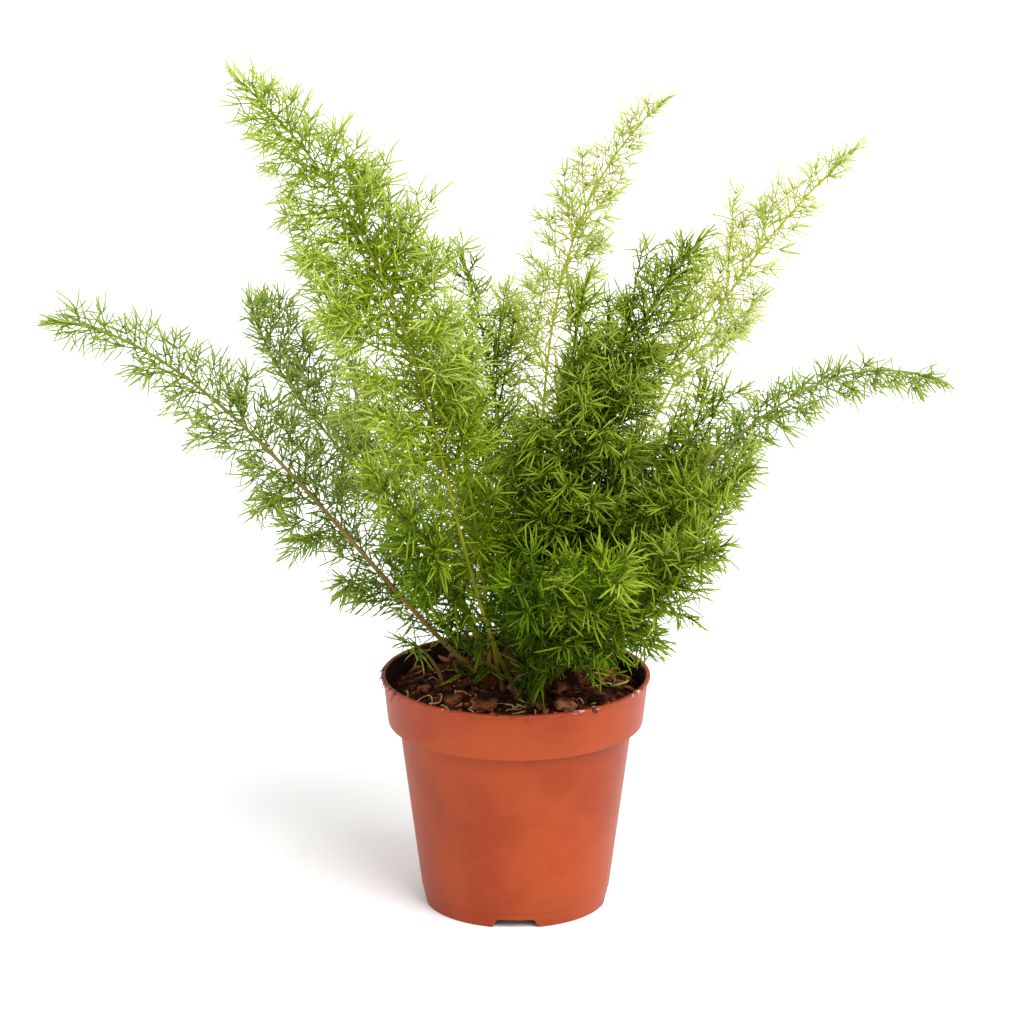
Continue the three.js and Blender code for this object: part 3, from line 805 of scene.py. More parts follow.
@dataclass
class NurseryPot:
    """A moulded 11 cm pot: a tapered body, a collar with a thin lip, a foot with four notches."""

    height: float = 97.0
    collar_height: float = 20.0
    collar_top: float = 54.3
    collar_bottom: float = 52.1
    body_top: float = 47.8
    foot_radius: float = 37.8
    foot_height: float = 6.0
    foot_step: float = 0.35
    foot_width: float = 1.6
    lip_radius: float = 55.0
    wall: float = 1.2
    floor_top: float = 5.4
    notch_width: float = 19.0
    notch_top_width: float = 14.4
    notch_height: float = 3.6
    notch_reach: float = 6.0
    drain_radius: float = 4.5
    drain_ring: float = 26.0
    segments: int = 180
    sharp_from: float = 32.0

    @property
    def collar(self) -> float:
        """Returns the height of the collar's foot."""
        return self.height - self.collar_height

    def outer_radius(self, height: float) -> float:
        """Works out the radius outside, the lip left out.

        Args:
            height: How far up the pot.

        Returns:
            The radius there.
        """
        if height < self.collar:
            return self.foot_radius + (self.body_top - self.foot_radius) * height / self.collar
        rise = (height - self.collar) / self.collar_height
        return self.collar_bottom + (self.collar_top - self.collar_bottom) * rise

    def inner_radius(self, height: float) -> float:
        """Returns the radius inside at a height."""
        return self.outer_radius(height) - self.wall

    def _side(self, start: float, stop: float, steps: int) -> list[Pair]:
        """Returns points up the outer side, from one height to another."""
        heights = np.linspace(start, stop, steps)
        return [(self.outer_radius(height), height) for height in heights]

    @staticmethod
    def _arc(centre: Pair, radius: float, start: float, stop: float, steps: int) -> list[Pair]:
        """Returns points round an arc of the section, from one angle in degrees to another."""
        turns = [math.radians(turn) for turn in np.linspace(start, stop, steps)]
        return [(centre[0] + radius * math.cos(at), centre[1] + radius * math.sin(at)) for at in turns]

    def _section(self) -> list[Pair]:
        """Sets out the section of the wall.

        Returns:
            Its points, from the axis below the floor, out and round to the axis above it.
        """
        foot, collar, lip, top = self.foot_height, self.collar, self.lip_radius, self.height
        ring_out = self.foot_radius - self.foot_step
        ring_in = ring_out - self.foot_width
        foot_out, shelf = self.outer_radius(foot), collar + self.wall
        inner = [
            (self.inner_radius(height), height)
            for height in np.linspace(shelf, self.floor_top, 14)[1:]
        ]
        return [
            (0.0, self.floor_top - self.wall),
            (ring_in, self.floor_top - self.wall),
            (ring_in, 0.3),
            (ring_in + 0.3, 0.0),
            (ring_out - 0.35, 0.0),
            (ring_out - 0.1, 0.1),
            (ring_out + 0.02, 0.4),
            (foot_out - self.foot_step, foot - 0.25),
            (foot_out - self.foot_step + 0.04, foot),
            (foot_out - 0.05, foot + 0.22),
            *self._side(foot + 0.6, collar - 0.7, 16),
            (self.body_top + 0.02, collar - 0.25),
            (self.body_top + 0.3, collar),
            *self._arc((self.collar_bottom - 0.5, collar + 0.5), 0.5, -90, 6, 6),
            *self._side(collar + 0.8, top - 2.2, 8),
            (self.collar_top - 0.03, top - 1.6),
            *self._arc((lip - 0.45, top - 1.05), 0.45, -90, 0, 5),
            *self._arc((lip - 0.55, top - 0.55), 0.55, 0, 90, 6),
            *self._arc((lip - 1.25, top - 0.55), 0.55, 90, 180, 6),
            (lip - 1.85, top - 1.6),
            (self.inner_radius(shelf) - 0.02, shelf + 0.3),
            (self.inner_radius(shelf) - 0.35, shelf),
            (self.body_top - self.wall + 0.3, shelf),
            *inner,
            (0.0, self.floor_top),
        ]

    def _notch_bar(self, turn: float) -> Skin:
        """Makes a bar with a narrower top that cuts two facing notches.

        Args:
            turn: The direction of the bar, in radians.

        Returns:
            Its closed skin.
        """
        half, top = self.notch_width / 2, self.notch_top_width / 2
        reach = self.foot_radius + self.notch_reach
        section = [
            (half + 0.6, -1.0),
            (half, 0.0),
            (top + 0.7, self.notch_height - 0.55),
            (top + 0.1, self.notch_height - 0.1),
            (top - 1.2, self.notch_height + 0.05),
        ]
        outline = section + [(-across, height) for across, height in reversed(section)]
        points = np.array(
            [(side * reach, across, height) for side in (-1, 1) for across, height in outline]
        )
        cos, sin = math.cos(turn), math.sin(turn)
        points[:, :2] = points[:, :2] @ np.array(((cos, sin), (-sin, cos)))
        end = np.arange(len(outline))
        skin = Skin().add(points, ring_quads(2, len(outline))[:, ::-1])
        skin.add_faces(np.stack((end[::-1], end + len(outline))))
        return skin

    def _drain(self, x: float, y: float) -> Skin:
        """Returns a round peg that cuts one drain hole."""
        path = np.array([[(x, y, -1.0), (x, y, self.floor_top + 2)]])
        return Skin().tubes(path, np.full((1, 2), self.drain_radius), 40)

    def build(self, plastic: Material) -> list[Piece]:
        """Makes the pot.

        Args:
            plastic: What it is moulded from.

        Returns:
            The pot alone.
        """
        section = np.array(self._section())
        rings = level_rings(section[1:-1, 0], section[1:-1, 1], self.segments)
        pot = turned(rings, (section[0, 1], section[-1, 1])).piece("nursery_pot", [plastic])
        ring = self.drain_ring
        holes = ((0, 0), (ring, 0), (-ring, 0), (0, ring), (0, -ring))
        cutters = [self._notch_bar(turn) for turn in (0.0, math.pi / 2)]
        cutters += [self._drain(x, y) for x, y in holes]
        tools = [cutter.piece(f"cutter_{i}", [plastic]) for i, cutter in enumerate(cutters)]
        for tool in tools:
            cut = pot.modifiers.new(tool.name, "BOOLEAN")
            cut.operation, cut.solver, cut.object = "DIFFERENCE", "EXACT", tool
        graph = bpy.context.evaluated_depsgraph_get()
        mesh = bpy.data.meshes.new_from_object(pot.evaluated_get(graph))
        pot.modifiers.clear()
        old, pot.data = pot.data, mesh
        bpy.data.meshes.remove(old)
        for tool in tools:
            bpy.data.meshes.remove(tool.data)
        mesh.name = pot.name
        mesh.polygons.foreach_set("use_smooth", np.ones(len(mesh.polygons), dtype=bool))
        mesh.set_sharp_from_angle(angle=math.radians(self.sharp_from))
        return [hand_over(pot, "pot", "pot")]


# ---- compost and what lies on it


@dataclass
class Ground:
    """The height of the compost, which everything that grows or lies on it shares."""

    edge_height: float = 88.6
    field_height: float = 90.6
    falls_from: float = 38.0
    edge_radius: float = 52.1
    mound_height: float = 2.2
    mound_radius: float = 26.0
    mound_x: float = 3.0
    mound_y: float = 6.0
    wave_height: float = 0.5

    def height(self, x: Array | float, y: Array | float) -> Array | float:
        """Works out the height of the smooth surface.

        Args:
            x: The place across, or several.
            y: The place from front to back, or several.

        Returns:
            The height there.
        """
        fall = smoothstep(np.hypot(x, y), self.falls_from, self.edge_radius)
        level = self.field_height + (self.edge_height - self.field_height) * fall
        away = np.hypot(x - self.mound_x, y - self.mound_y) / self.mound_radius
        waves = np.sin(0.31 * x + 1.3) * np.cos(0.27 * y) + np.sin(0.17 * x - 0.43 * y)
        return level + self.mound_height * np.exp(-away * away) + self.wave_height * (1 - fall) * waves


@dataclass(frozen=True)
class Litter:
    """One kind of loose bit: how many, their half lengths, and how they lie.

    flatness is the thickness as a share of the length, and sink how far they sit above the
    surface as a share of that. slot is the finish, and cuts the flat faces broken off each.
    """

    count: int
    least: float
    most: float
    flatness: float
    sink: float
    slot: int
    cuts: int = 0


@dataclass
class Compost:
    """The root ball's rough top, its loose crumbs, flakes of bark and grains of white grit."""

    ground: Ground
    pot: NurseryPot
    fit: float = 0.4
    rings: int = 76
    spokes: int = 300
    middle: float = 0.45
    lump: float = 1.7
    lump_size: float = 5.2
    crumb: float = 0.55
    crumb_size: float = 2.3
    rough: float = 0.32
    rough_size: float = 3.1
    side_heights: tuple[float, ...] = (70.0, 50.0, 30.0)
    widest: float = 50.0
    litter: tuple[Litter, ...] = (
        Litter(620, 0.4, 1.7, 0.75, 0.3, 0),
        Litter(100, 0.9, 3.0, 0.3, 0.8, 1, cuts=6),
        Litter(90, 1.8, 4.4, 0.5, 0.6, 1, cuts=12),
        Litter(46, 0.3, 0.75, 0.7, 0.5, 2),
    )
    sharp_from: float = 34.0
    seed: int = 11

    def _relief(self, x: float, y: float) -> float:
        """Works out how far the lumps lift the surface.

        Args:
            x: The place across.
            y: The place from front to back.

        Returns:
            The lift there.
        """
        near = noise.voronoi(Vector((x / self.lump_size, y / self.lump_size, 0.7)))[0][0]
        close = noise.voronoi(Vector((x / self.crumb_size, y / self.crumb_size, 4.1)))[0][0]
        spot = Vector((x / self.rough_size, y / self.rough_size, 2.5))
        rough = noise.fractal(spot, 0.8, 2.1, 4)
        return self.lump * (0.5 - near) * 0.8 + self.crumb * (0.45 - close) + self.rough * rough

    def _top(self) -> Skin:
        """Makes the root ball: a rough top, a wall just inside the pot and a flat underside.

        Returns:
            Its closed skin.
        """
        pot, fit = self.pot, self.fit
        edge = pot.inner_radius(self.ground.edge_height) - fit
        radii = np.linspace(self.middle, edge, self.rings)[:, None]
        top = radii[..., None] * circle(self.spokes)
        x, y = top[..., 0], top[..., 1]
        relief = np.array([[self._relief(*spot) for spot in zip(*row)] for row in zip(x, y)])
        top[..., 2] = self.ground.height(x, y) + relief * (1 - 0.6 * smoothstep(radii, edge - 3, edge))
        collar, bottom = pot.collar + pot.wall + fit, pot.floor_top + fit
        side = [
            (pot.inner_radius(collar) - fit, collar),
            (pot.body_top - pot.wall - fit, collar - 0.1),
            *((pot.inner_radius(level) - fit, level) for level in (*self.side_heights, bottom)),
        ]
        wall = level_rings(*np.array(side).T, self.spokes)
        ends = (top[0, :, 2].mean(), bottom)
        return turned(np.concatenate((top, wall)), ends, downwards=True)

    def _scatter(self, skin: Skin, draw: Chance, kind: Litter) -> None:
        """Adds loose bits, each a dented ball of its own shape, sunk a little in the surface.

        Args:
            skin: The piece that they join.
            draw: Where chance comes from.
            kind: What they are.
        """
        points, faces = ball(3 if kind.cuts else 2)
        for _ in range(kind.count):
            radius = self.widest * math.sqrt(draw.random())
            turn = draw.random() * 2 * math.pi
            size = kind.least + (kind.most - kind.least) * draw.random() ** 2.2
            shape = points if kind.cuts else points * draw.uniform(0.6, 1.25, (len(points), 1))
            shape = chipped(shape, draw, kind.cuts, (0.3, 0.7))
            shape = shape * size * np.array((1.0, draw.uniform(0.55, 0.9), kind.flatness))
            spin = rotation(draw.uniform(-0.5, 0.5), draw.uniform(-0.5, 0.5), turn * 7)
            x, y = radius * math.cos(turn), radius * math.sin(turn)
            lift = self.ground.height(x, y) + self._relief(x, y) + kind.sink * size * kind.flatness
            skin.add(shape @ spin.T + (x, y, lift), faces, finish=kind.slot)

    def build(self, finishes: Sequence[Material]) -> list[Piece]:
        """Makes the compost.

        Args:
            finishes: Compost, bark flakes and white grit.

        Returns:
            The compost as one piece.
        """
        draw, skin = np.random.default_rng(self.seed), self._top()
        for kind in self.litter:
            self._scatter(skin, draw, kind)
        return [hand_over(skin.piece("compost", finishes, self.sharp_from), "soil", "soil")]


def chipped(
    shape: Array, draw: Chance, cuts: int, depths: Pair, upwards: Pair | None = None
) -> Array:
    """Breaks flat faces off a shape.

    Args:
        shape: (n, 3) points round the middle, about 1 away from it.
        draw: Where chance comes from.
        cuts: How many faces are broken off.
        depths: How near the middle a face comes at least and at most.
        upwards: How far the faces look up, at least and at most, or None for any direction.

    Returns:
        The points after that.
    """
    for _ in range(cuts):
        if upwards is None:
            cut = unit(draw.normal(size=3))
        else:
            cut = unit(np.array((*draw.normal(size=2), draw.uniform(*upwards))))
        over = np.maximum(shape @ cut - draw.uniform(*depths), 0)
        shape = shape - over[:, None] * cut
    return shape


@dataclass(frozen=True)
class BarkChip:
    """One slab of bark: its place, its half sizes, and its turn, tilt and roll in degrees."""

    x: float
    y: float
    along: float
    across: float
    through: float
    turn: float
    tilt: float
    roll: float = 0.0

    @staticmethod
    def _outline(draw: Chance, turn: Array, corners: int = 6) -> Array:
        """Works out how far an angular outline reaches.

        Args:
            draw: Where chance comes from.
            turn: (n,) the directions that are asked for, in radians.
            corners: How many corners the outline has.

        Returns:
            (n,) how far away it is in each direction.
        """
        at = (np.arange(corners) + draw.uniform(-0.32, 0.32, corners)) * 2 * math.pi / corners
        reach = draw.uniform(0.66, 1.06, corners)
        spots = np.stack((np.cos(at) * reach, np.sin(at) * reach), -1)
        past = (turn - at[0]) % (2 * math.pi) + at[0]
        first = (np.searchsorted(at, past, side="right") - 1) % corners
        start, end = spots[first], spots[(first + 1) % corners]
        side = end - start
        cross = start[:, 0] * end[:, 1] - start[:, 1] * end[:, 0]
        return cross / (np.cos(turn) * side[:, 1] - np.sin(turn) * side[:, 0])

    def _weathered(self, x: float, y: float, z: float, seed: int) -> Triple:
        """Moves a point of the slab to where its layers, ragged edge and warp put it.

        Args:
            x: Where it is along the slab.
            y: Where it is across it.
            z: Where it is through it.
            seed: The number that the slab's roughness follows.

        Returns:
            Its new place.
        """
        ridge = noise.fractal(Vector((x / 6.5, y / 1.6, z / 1.1 + seed)), 0.7, 2.2, 3)
        ragged = noise.noise(Vector((x / 2.1 + seed, y / 2.1, z / 2.1)))
        layer = 0.25 * math.sin(z * 7.5 + 2.0 * ragged)
        away = math.hypot(x, y) or 1.0
        rim = min(away / self.across, 1.0) ** 3
        out = layer * rim + 0.45 * ragged * rim
        twist, bow = 0.05 * x * math.sin(seed), 0.014 * x * x * math.cos(seed * 2.3)
        return x + x / away * out, y + y / away * out, z + 0.34 * ridge + twist + bow

    def grow(self, ground: Ground, seed: int) -> Skin:
        """Shapes the slab.

        Args:
            ground: What it lies on.
            seed: The number that its cracks and broken edges follow.

        Returns:
            Its closed skin.
        """
        draw = np.random.default_rng(seed)
        points, faces = ball(5)
        away = np.hypot(points[:, 0], points[:, 1])
        turn = np.arctan2(points[:, 1], points[:, 0])
        reach = self._outline(draw, turn) * away**0.32
        level = np.sign(points[:, 2]) * np.abs(points[:, 2]) ** 0.6
        shape = np.stack((np.cos(turn) * reach, np.sin(turn) * reach, level), -1)
        shape = chipped(shape, draw, 5, (0.75, 1.0), upwards=(0.6, 1.6))
        shape = shape * np.array((self.along, self.across, self.through))
        shape = np.array([self._weathered(*point, seed) for point in shape])
        turn, tilt, roll = (math.radians(angle) for angle in (self.turn, self.tilt, self.roll))
        lift = 0.35 * self.through + 0.5 * self.along * abs(math.sin(tilt))
        lift += 0.5 * self.across * abs(math.sin(roll))
        place = (self.x, self.y, ground.height(self.x, self.y) + lift)
        return Skin().add(shape @ rotation(roll, -tilt, turn).T + place, faces)


@dataclass
class BarkMulch:
    """The ten larger chips on the compost."""

    ground: Ground
    chips: tuple[BarkChip, ...] = (
        BarkChip(21, -8, 8.0, 5.4, 1.5, 14, 40, 58),
        BarkChip(-12, -27, 6.0, 4.4, 1.6, 25, 14, 30),
        BarkChip(-26, -20, 6.4, 3.8, 1.6, -30, 14, 22),
        BarkChip(20, -29, 6.6, 4.6, 1.6, 8, -12, 30),
        BarkChip(33, -21, 6.0, 4.0, 1.5, -35, 14, 26),
        BarkChip(-38, -6, 5.2, 3.0, 1.4, 70, -10),
        BarkChip(38, 12, 5.8, 3.4, 1.6, 100, 10),
        BarkChip(20, 38, 6.2, 3.6, 1.6, 35, 12),
        BarkChip(-24, 34, 5.8, 3.6, 1.5, -25, -12),
        BarkChip(-6, -43, 4.6, 2.8, 1.3, 5, 8),
    )
    sharp_from: float = 26.0
    seed: int = 300

    def build(self, bark: Material) -> list[Piece]:
        """Makes the chips.

        Args:
            bark: Their finish.

        Returns:
            One piece for each chip.
        """
        made = []
        for number, chip in enumerate(self.chips, 1):
            slab = chip.grow(self.ground, self.seed + number)
            piece = slab.piece(f"bark_{number}", [bark], self.sharp_from)
            made.append(hand_over(piece, "bark", f"bark_chip_{number}"))
        return made


@dataclass
class OldStub:
    """What is left of a stem that was cut: a short peg that leans over."""

    ground: Ground
    x: float = 1.0
    y: float = -20.0
    bottom: float = 80.0
    top: float = 98.0
    radius: float = 1.5
    top_share: float = 0.7
    lean: float = 4.0
    leans_from: float = 1.2
    ripple: float = 0.07
    steps: int = 22
    sides: int = 14
    sharp_from: float = 50.0

    def build(self, dry: Material) -> list[Piece]:
        """Makes the stub.

        Args:
            dry: Its finish.

        Returns:
            The stub alone.
        """
        share = np.linspace(0.0, 1.0, self.steps)
        level = self.ground.height(self.x, self.y) + self.leans_from
        height = self.bottom + (self.top - self.bottom) * share
        bend = np.clip((height - level) / (self.top - level), 0.0, 1.0) ** 1.4
        path = np.stack((self.x - self.lean * bend, np.full(self.steps, self.y), height), -1)
        radii = self.radius * (1 - (1 - self.top_share) * bend)
        radii = radii * (1 + self.ripple * np.sin(share * 31.0))
        skin = Skin().tubes(path[None], radii[None], self.sides)
        return [hand_over(skin.piece("dry_stub", [dry], self.sharp_from), "dry_stem", "old_stub")]


@dataclass
class LooseBits:
    """Fine roots, dropped needles, and the dark hairs and flecks that cling to the rim.

    A set root is given by its start, length, heading, twist and arch, a fleck by its place round
    the rim in degrees, its height and its size, and a leaflet by its place, heading, length and
    width. The rest are strewn by chance.
    """

    ground: Ground
    roots: int = 26
    set_roots: tuple[tuple[Pair, float, float, float, float], ...] = (
        ((-41.0, -19.0), 17.0, 0.5, -0.20, 2.2),
        ((-35.0, -22.0), 13.0, -0.4, 0.22, 1.2),
        ((-27.0, -30.0), 9.0, 2.4, -0.10, 1.0),
        ((-45.0, -5.0), 8.0, -1.2, 0.12, 1.4),
        ((-4.0, -34.0), 8.0, -0.25, 0.10, 1.6),
        ((7.0, -26.0), 7.0, 0.7, 0.05, 1.2),
        ((30.0, -30.0), 8.0, 0.9, -0.1, 1.0),
    )
    root_steps: int = 18
    root_area: float = 44.0
    root_limit: float = 51.0
    hairs: int = 12
    hair_steps: int = 10
    hairs_from: float = 170.0
    hairs_over: float = 48.0
    rim_radius: float = 54.0
    rim_top: float = 97.1
    flecks: tuple[Triple, ...] = (
        (-55.5, 96.2, 1.5),
        (-54.0, 95.2, 0.9),
        (-118.0, 96.6, 0.7),
        (-98.0, 96.8, 0.6),
        (-22.0, 96.4, 0.6),
    )
    fleck_radius: float = 54.9
    leaflets: tuple[tuple[float, ...], ...] = (
        (38.5, -4.5, 0.22, 8.5, 2.9),
        (4.0, -31.0, 2.6, 4.5, 1.0),
        (-1.5, -37.0, 0.1, 6.0, 0.9),
    )
    dropped: int = 9
    dropped_size: Pair = (5.5, 0.9)
    seed: int = 71

    def _curl(
        self, draw: Chance, start: Pair, length: float, heading: float, twist: float, lift: float
    ) -> Array:
        """Sets out the line of a root that wanders over the compost.

        Args:
            draw: Where chance comes from.
            start: Where it begins, in x and y.
            length: How long it is.
            heading: The direction that it sets out in, in radians.
            twist: How much it turns, in radians a millimetre.
            lift: How high it arches.

        Returns:
            (n, 3) points along it.
        """
        steps, place = self.root_steps, np.array(start)
        spots = []
        for step in range(steps):
            share = step / (steps - 1)
            height = self.ground.height(*place) + 0.5 + lift * math.sin(math.pi * share)
            spots.append((*place, height + 0.3 * math.sin(7 * share + twist * 9)))
            heading += twist * length / steps + draw.normal(0, 0.18)
            place = place + length / steps * np.array((math.cos(heading), math.sin(heading)))
        return np.array(spots)

    def _roots(self, root: Material) -> Piece:
        """Makes the fine roots.

        Args:
            root: Their finish.

        Returns:
            One piece.
        """
        draw = np.random.default_rng(self.seed)
        lines = [self._curl(draw, *plan) for plan in self.set_roots]
        for _ in range(self.roots - len(self.set_roots)):
            radius = self.root_area * math.sqrt(draw.uniform(0.12, 1.0))
            turn = draw.random() * 2 * math.pi
            start = (radius * math.cos(turn), radius * math.sin(turn))
            length, heading = draw.uniform(4, 11), draw.random() * 2 * math.pi
            twist, lift = draw.normal(0, 0.16), draw.uniform(0.2, 1.4)
            lines.append(self._curl(draw, start, length, heading, twist, lift))
        taper = np.linspace(1.0, 0.5, self.root_steps)
        radii = np.array([draw.uniform(0.26, 0.44) * taper for _ in lines])
        inside = [line for line in lines if np.hypot(line[:, 0], line[:, 1]).max() < self.root_limit]
        skin = Skin().tubes(np.array(inside), radii[: len(inside)], 6)
        return hand_over(skin.piece("fine_roots", [root]), "dry_stem")

    def _hairs(self, dark: Material) -> Piece:
        """Makes the dark hairs over the left of the rim, and the flecks on it.

        Args:
            dark: Their finish.

        Returns:
            One piece.
        """
        draw = np.random.default_rng(self.seed + 1)
        share = np.linspace(0.0, 1.0, self.hair_steps)[:, None]
        lines = []
        for number in range(self.hairs):
            way = self.hairs_from + self.hairs_over * number / self.hairs
            turn = math.radians(way + draw.uniform(-3, 3))
            out = np.array((math.cos(turn), math.sin(turn), 0.0))
            side = np.array((-math.sin(turn), math.cos(turn), 0.0))
            length, sway = draw.uniform(3.0, 6.0), draw.normal(0, 0.5)
            lines.append(
                out * self.rim_radius
                + UP * self.rim_top
                + out * length * share * 0.45
                - UP * length * share**2 * draw.uniform(0.1, 1.0)
                + side * length * sway * share**1.5
            )
        radii = np.tile(np.linspace(0.28, 0.1, self.hair_steps), (len(lines), 1))
        skin = Skin().tubes(np.array(lines), radii, 5)
        points, faces = ball(2)
        for degrees, height, size in self.flecks:
            turn = math.radians(degrees)
            shape = points * draw.uniform(0.55, 1.2, (len(points), 1)) * size * (1.0, 0.5, 0.7)
            x, y = self.fleck_radius * math.cos(turn), self.fleck_radius * math.sin(turn)
            skin.add(shape @ rotation(0.3, 0.4, turn + 1.6).T + (x, y, height), faces)
        return hand_over(skin.piece("rim_hairs", [dark]), "soil")

    def _dropped(self, faded: Material) -> Piece:
        """Makes the leaflets and needles that have dropped on the compost.

        Args:
            faded: Their finish.

        Returns:
            One piece.
        """
        draw = np.random.default_rng(self.seed + 2)
        spots = list(self.leaflets)
        for _ in range(self.dropped):
            radius, turn = draw.uniform(20, 48), draw.random() * 2 * math.pi
            x, y = radius * math.cos(turn), radius * math.sin(turn)
            spots.append((x, y, draw.uniform(0, ABOUT_A_TURN), *self.dropped_size))
        skin = Skin()
        for x, y, heading, length, width in spots:
            base = np.array([(x, y, self.ground.height(x, y) + 1.5)])
            along = np.array([(math.cos(heading), math.sin(heading), 0.08)])
            across = unit(np.cross(UP, along))
            sizes = (np.array([size]) for size in (length, 0.1, 0.1, 0.5))
            Needles(width, rows=[(base, unit(along), across, *sizes)]).into(skin)
        return hand_over(skin.piece("dropped_needles", [faded]), "pale_foliage")

    def build(self, root: Material, dark: Material, faded: Material) -> list[Piece]:
        """Makes the loose bits.

        Args:
            root: The finish of the fine roots.
            dark: The finish of the hairs on the rim.
            faded: The finish of the dropped needles.

        Returns:
            Three pieces.
        """
        return [self._roots(root), self._hairs(dark), self._dropped(faded)]


# ---- foliage


@dataclass
class Needles:
    """A batch of needles, each a narrow blade with a keel below, that are meshed together.

    stations are the shares of the length where the blade has a ring of three points, and widths
    is how wide it is there. checked is where it is held against what it must not run into. A row
    holds n needles: their (n, 3) bases, directions and directions of width, and their (n,)
    lengths, curls up and sideways as shares of the length, and tints from dark to pale.
    """

    width: float = 1.0
    thickness: float = 0.7
    stations: tuple[float, ...] = (0.0, 0.42, 0.84)
    widths: tuple[float, ...] = (0.55, 1.0, 0.84)
    checked: tuple[float, ...] = (0.0, 0.17, 0.33, 0.5, 0.67, 0.83, 1.0)
    rows: list[tuple[Array, ...]] = field(default_factory=list)

    def _table(self, keep: "KeepClear | None") -> list[Array]:
        """Gathers the needles.

        Args:
            keep: What no needle may run into, or None.

        Returns:
            The columns of the rows joined, for all the needles that have room.
        """
        table = [np.concatenate(part) for part in zip(*self.rows)]
        if keep is None:
            return table
        base, along, length = table[0], table[1], table[3][:, None]
        clear = np.ones(len(base), dtype=bool)
        for share in self.checked:
            clear &= keep.clear(base + along * length * share)
        return [column[clear] for column in table]

    def _points(self, table: Sequence[Array]) -> Array:
        """Shapes the needles.

        Args:
            table: What _table gives.

        Returns:
            (n, k, 3) points of each: three at every station, and the tip.
        """
        base, along, across, length, bend, sway, _ = table
        normal = np.cross(along, across)
        share = np.array(self.stations)[None, :, None]
        reach = length[:, None, None]
        middle = base[:, None] + along[:, None] * reach * share
        curl = normal * bend[:, None] + across * sway[:, None]
        middle = middle + curl[:, None] * reach * share**2
        wide = np.array(self.widths)[None, :, None]
        side = across[:, None] * wide * self.width / 2
        keel = middle - normal[:, None] * wide * self.thickness
        tip = base + (along + curl) * length[:, None]
        rings = np.stack((middle - side, keel, middle + side), 2).reshape(len(base), -1, 3)
        return np.concatenate((rings, tip[:, None]), 1)

    def into(self, skin: Skin, keep: "KeepClear | None" = None) -> int:
        """Meshes the needles.

        Args:
            skin: The piece that they join.
            keep: What no needle may run into, or None.

        Returns:
            How many there are.
        """
        table = self._table(keep)
        points = self._points(table)
        count, size = points.shape[:2]
        edges = np.array([-1.0, 0.0, 1.0]) * NeedleMap.half
        pairs, last = ((0, 1), (1, 2), (2, 0)), size - 4
        quads = ring_quads(len(self.stations), 3)
        quad_places = strip_places(edges, edges[[1, 2, 0]], np.array(self.stations))
        threes = [(0, 2, 1), *((last + here, last + there, size - 1) for here, there in pairs)]
        level = self.stations[-1]
        three_places = [((edges[0], 0.0), (edges[2], 0.0), (edges[1], 0.012))]
        three_places += [
            ((edges[here], level), (edges[there], level), (edges[1], 1.0)) for here, there in pairs
        ]
        tint = np.zeros((count, 1, 1, 2))
        tint[:, 0, 0, 0] = NeedleMap.tint_place(table[-1])
        offsets, start = np.arange(count)[:, None, None] * size, skin.count
        skin.add(
            points.reshape(-1, 3),
            (quads + offsets).reshape(-1, 4),
            (quad_places + tint).reshape(-1, 4, 2),
        )
        skin.add_faces(
            (np.array(threes) + offsets + start).reshape(-1, 3),
            (np.array(three_places) + tint).reshape(-1, 3, 2),
        )
        return count


@dataclass(frozen=True)
class FreeLine:
    """The points along a stem that hangs free, and the room before it where nothing grows.

    The room is width to each side and above, from ahead of the line towards the front, where it
    rises by downhill. Where twigs_may_pass, only needles are kept out of it.
    """

    points: Array
    width: float = 1.7
    ahead: float = -0.5
    downhill: float = 0.29
    twigs_may_pass: bool = False

    def covered_by(self, points: Array) -> Array:
        """Tells which points hang before the line, on its front side and a little above it.

        Args:
            points: (n, 3) the points in question.

        Returns:
            (n,) true where a point covers the line.
        """
        ahead = self.points[None, :, 1] - points[:, None, 1]
        sideways = self.points[None, :, 0] - points[:, None, 0]
        upwards = points[:, None, 2] - self.downhill * ahead - self.points[None, :, 2]
        return ((ahead > self.ahead) & (np.hypot(sideways, upwards) < self.width)).any(axis=1)


@dataclass(frozen=True)
class KeepClear:
    """Where no needle grows: in the pot, in the compost, and over the stems that hang free."""

    ground: Ground
    free_lines: tuple[FreeLine, ...] = ()
    rim_top: float = 97.9
    rim_radius: float = 56.2
    inside: float = 51.5
    above: float = 4.0

    def clear(self, points: Array, twig: bool = False) -> Array:
        """Tells which points have room.

        Args:
            points: (n, 3) places on needles, or along a twig.
            twig: Whether they are a twig's.

        Returns:
            (n,) true where a point has room.
        """
        away = np.hypot(points[:, 0], points[:, 1])
        in_wall = (away < self.rim_radius) & (away > self.inside) & (points[:, 2] < self.rim_top)
        level = self.ground.height(points[:, 0], points[:, 1]) + self.above
        blocked = in_wall | ((away <= self.inside) & (points[:, 2] < level))
        for line in self.free_lines:
            if not (twig and line.twigs_may_pass):
                blocked |= line.covered_by(points)
        return ~blocked


class Green(Enum):
    """The four greens of the plant, by the slot that holds each."""

    FRESH = "fresh_foliage"
    PALE = "pale_foliage"
    MID = "mid_foliage"
    DEEP = "deep_foliage"


@dataclass(frozen=True)
class FrondPlan:
    """One frond: its root on the ground, the handles and tip of its line, and its plume.

    plume is the half width of its twigs, and bare the share of the stem that has none.
    """

    name: str
    root: Pair
    lower: Triple
    upper: Triple
    tip: Triple
    plume: float
    bare: float
    green: Green


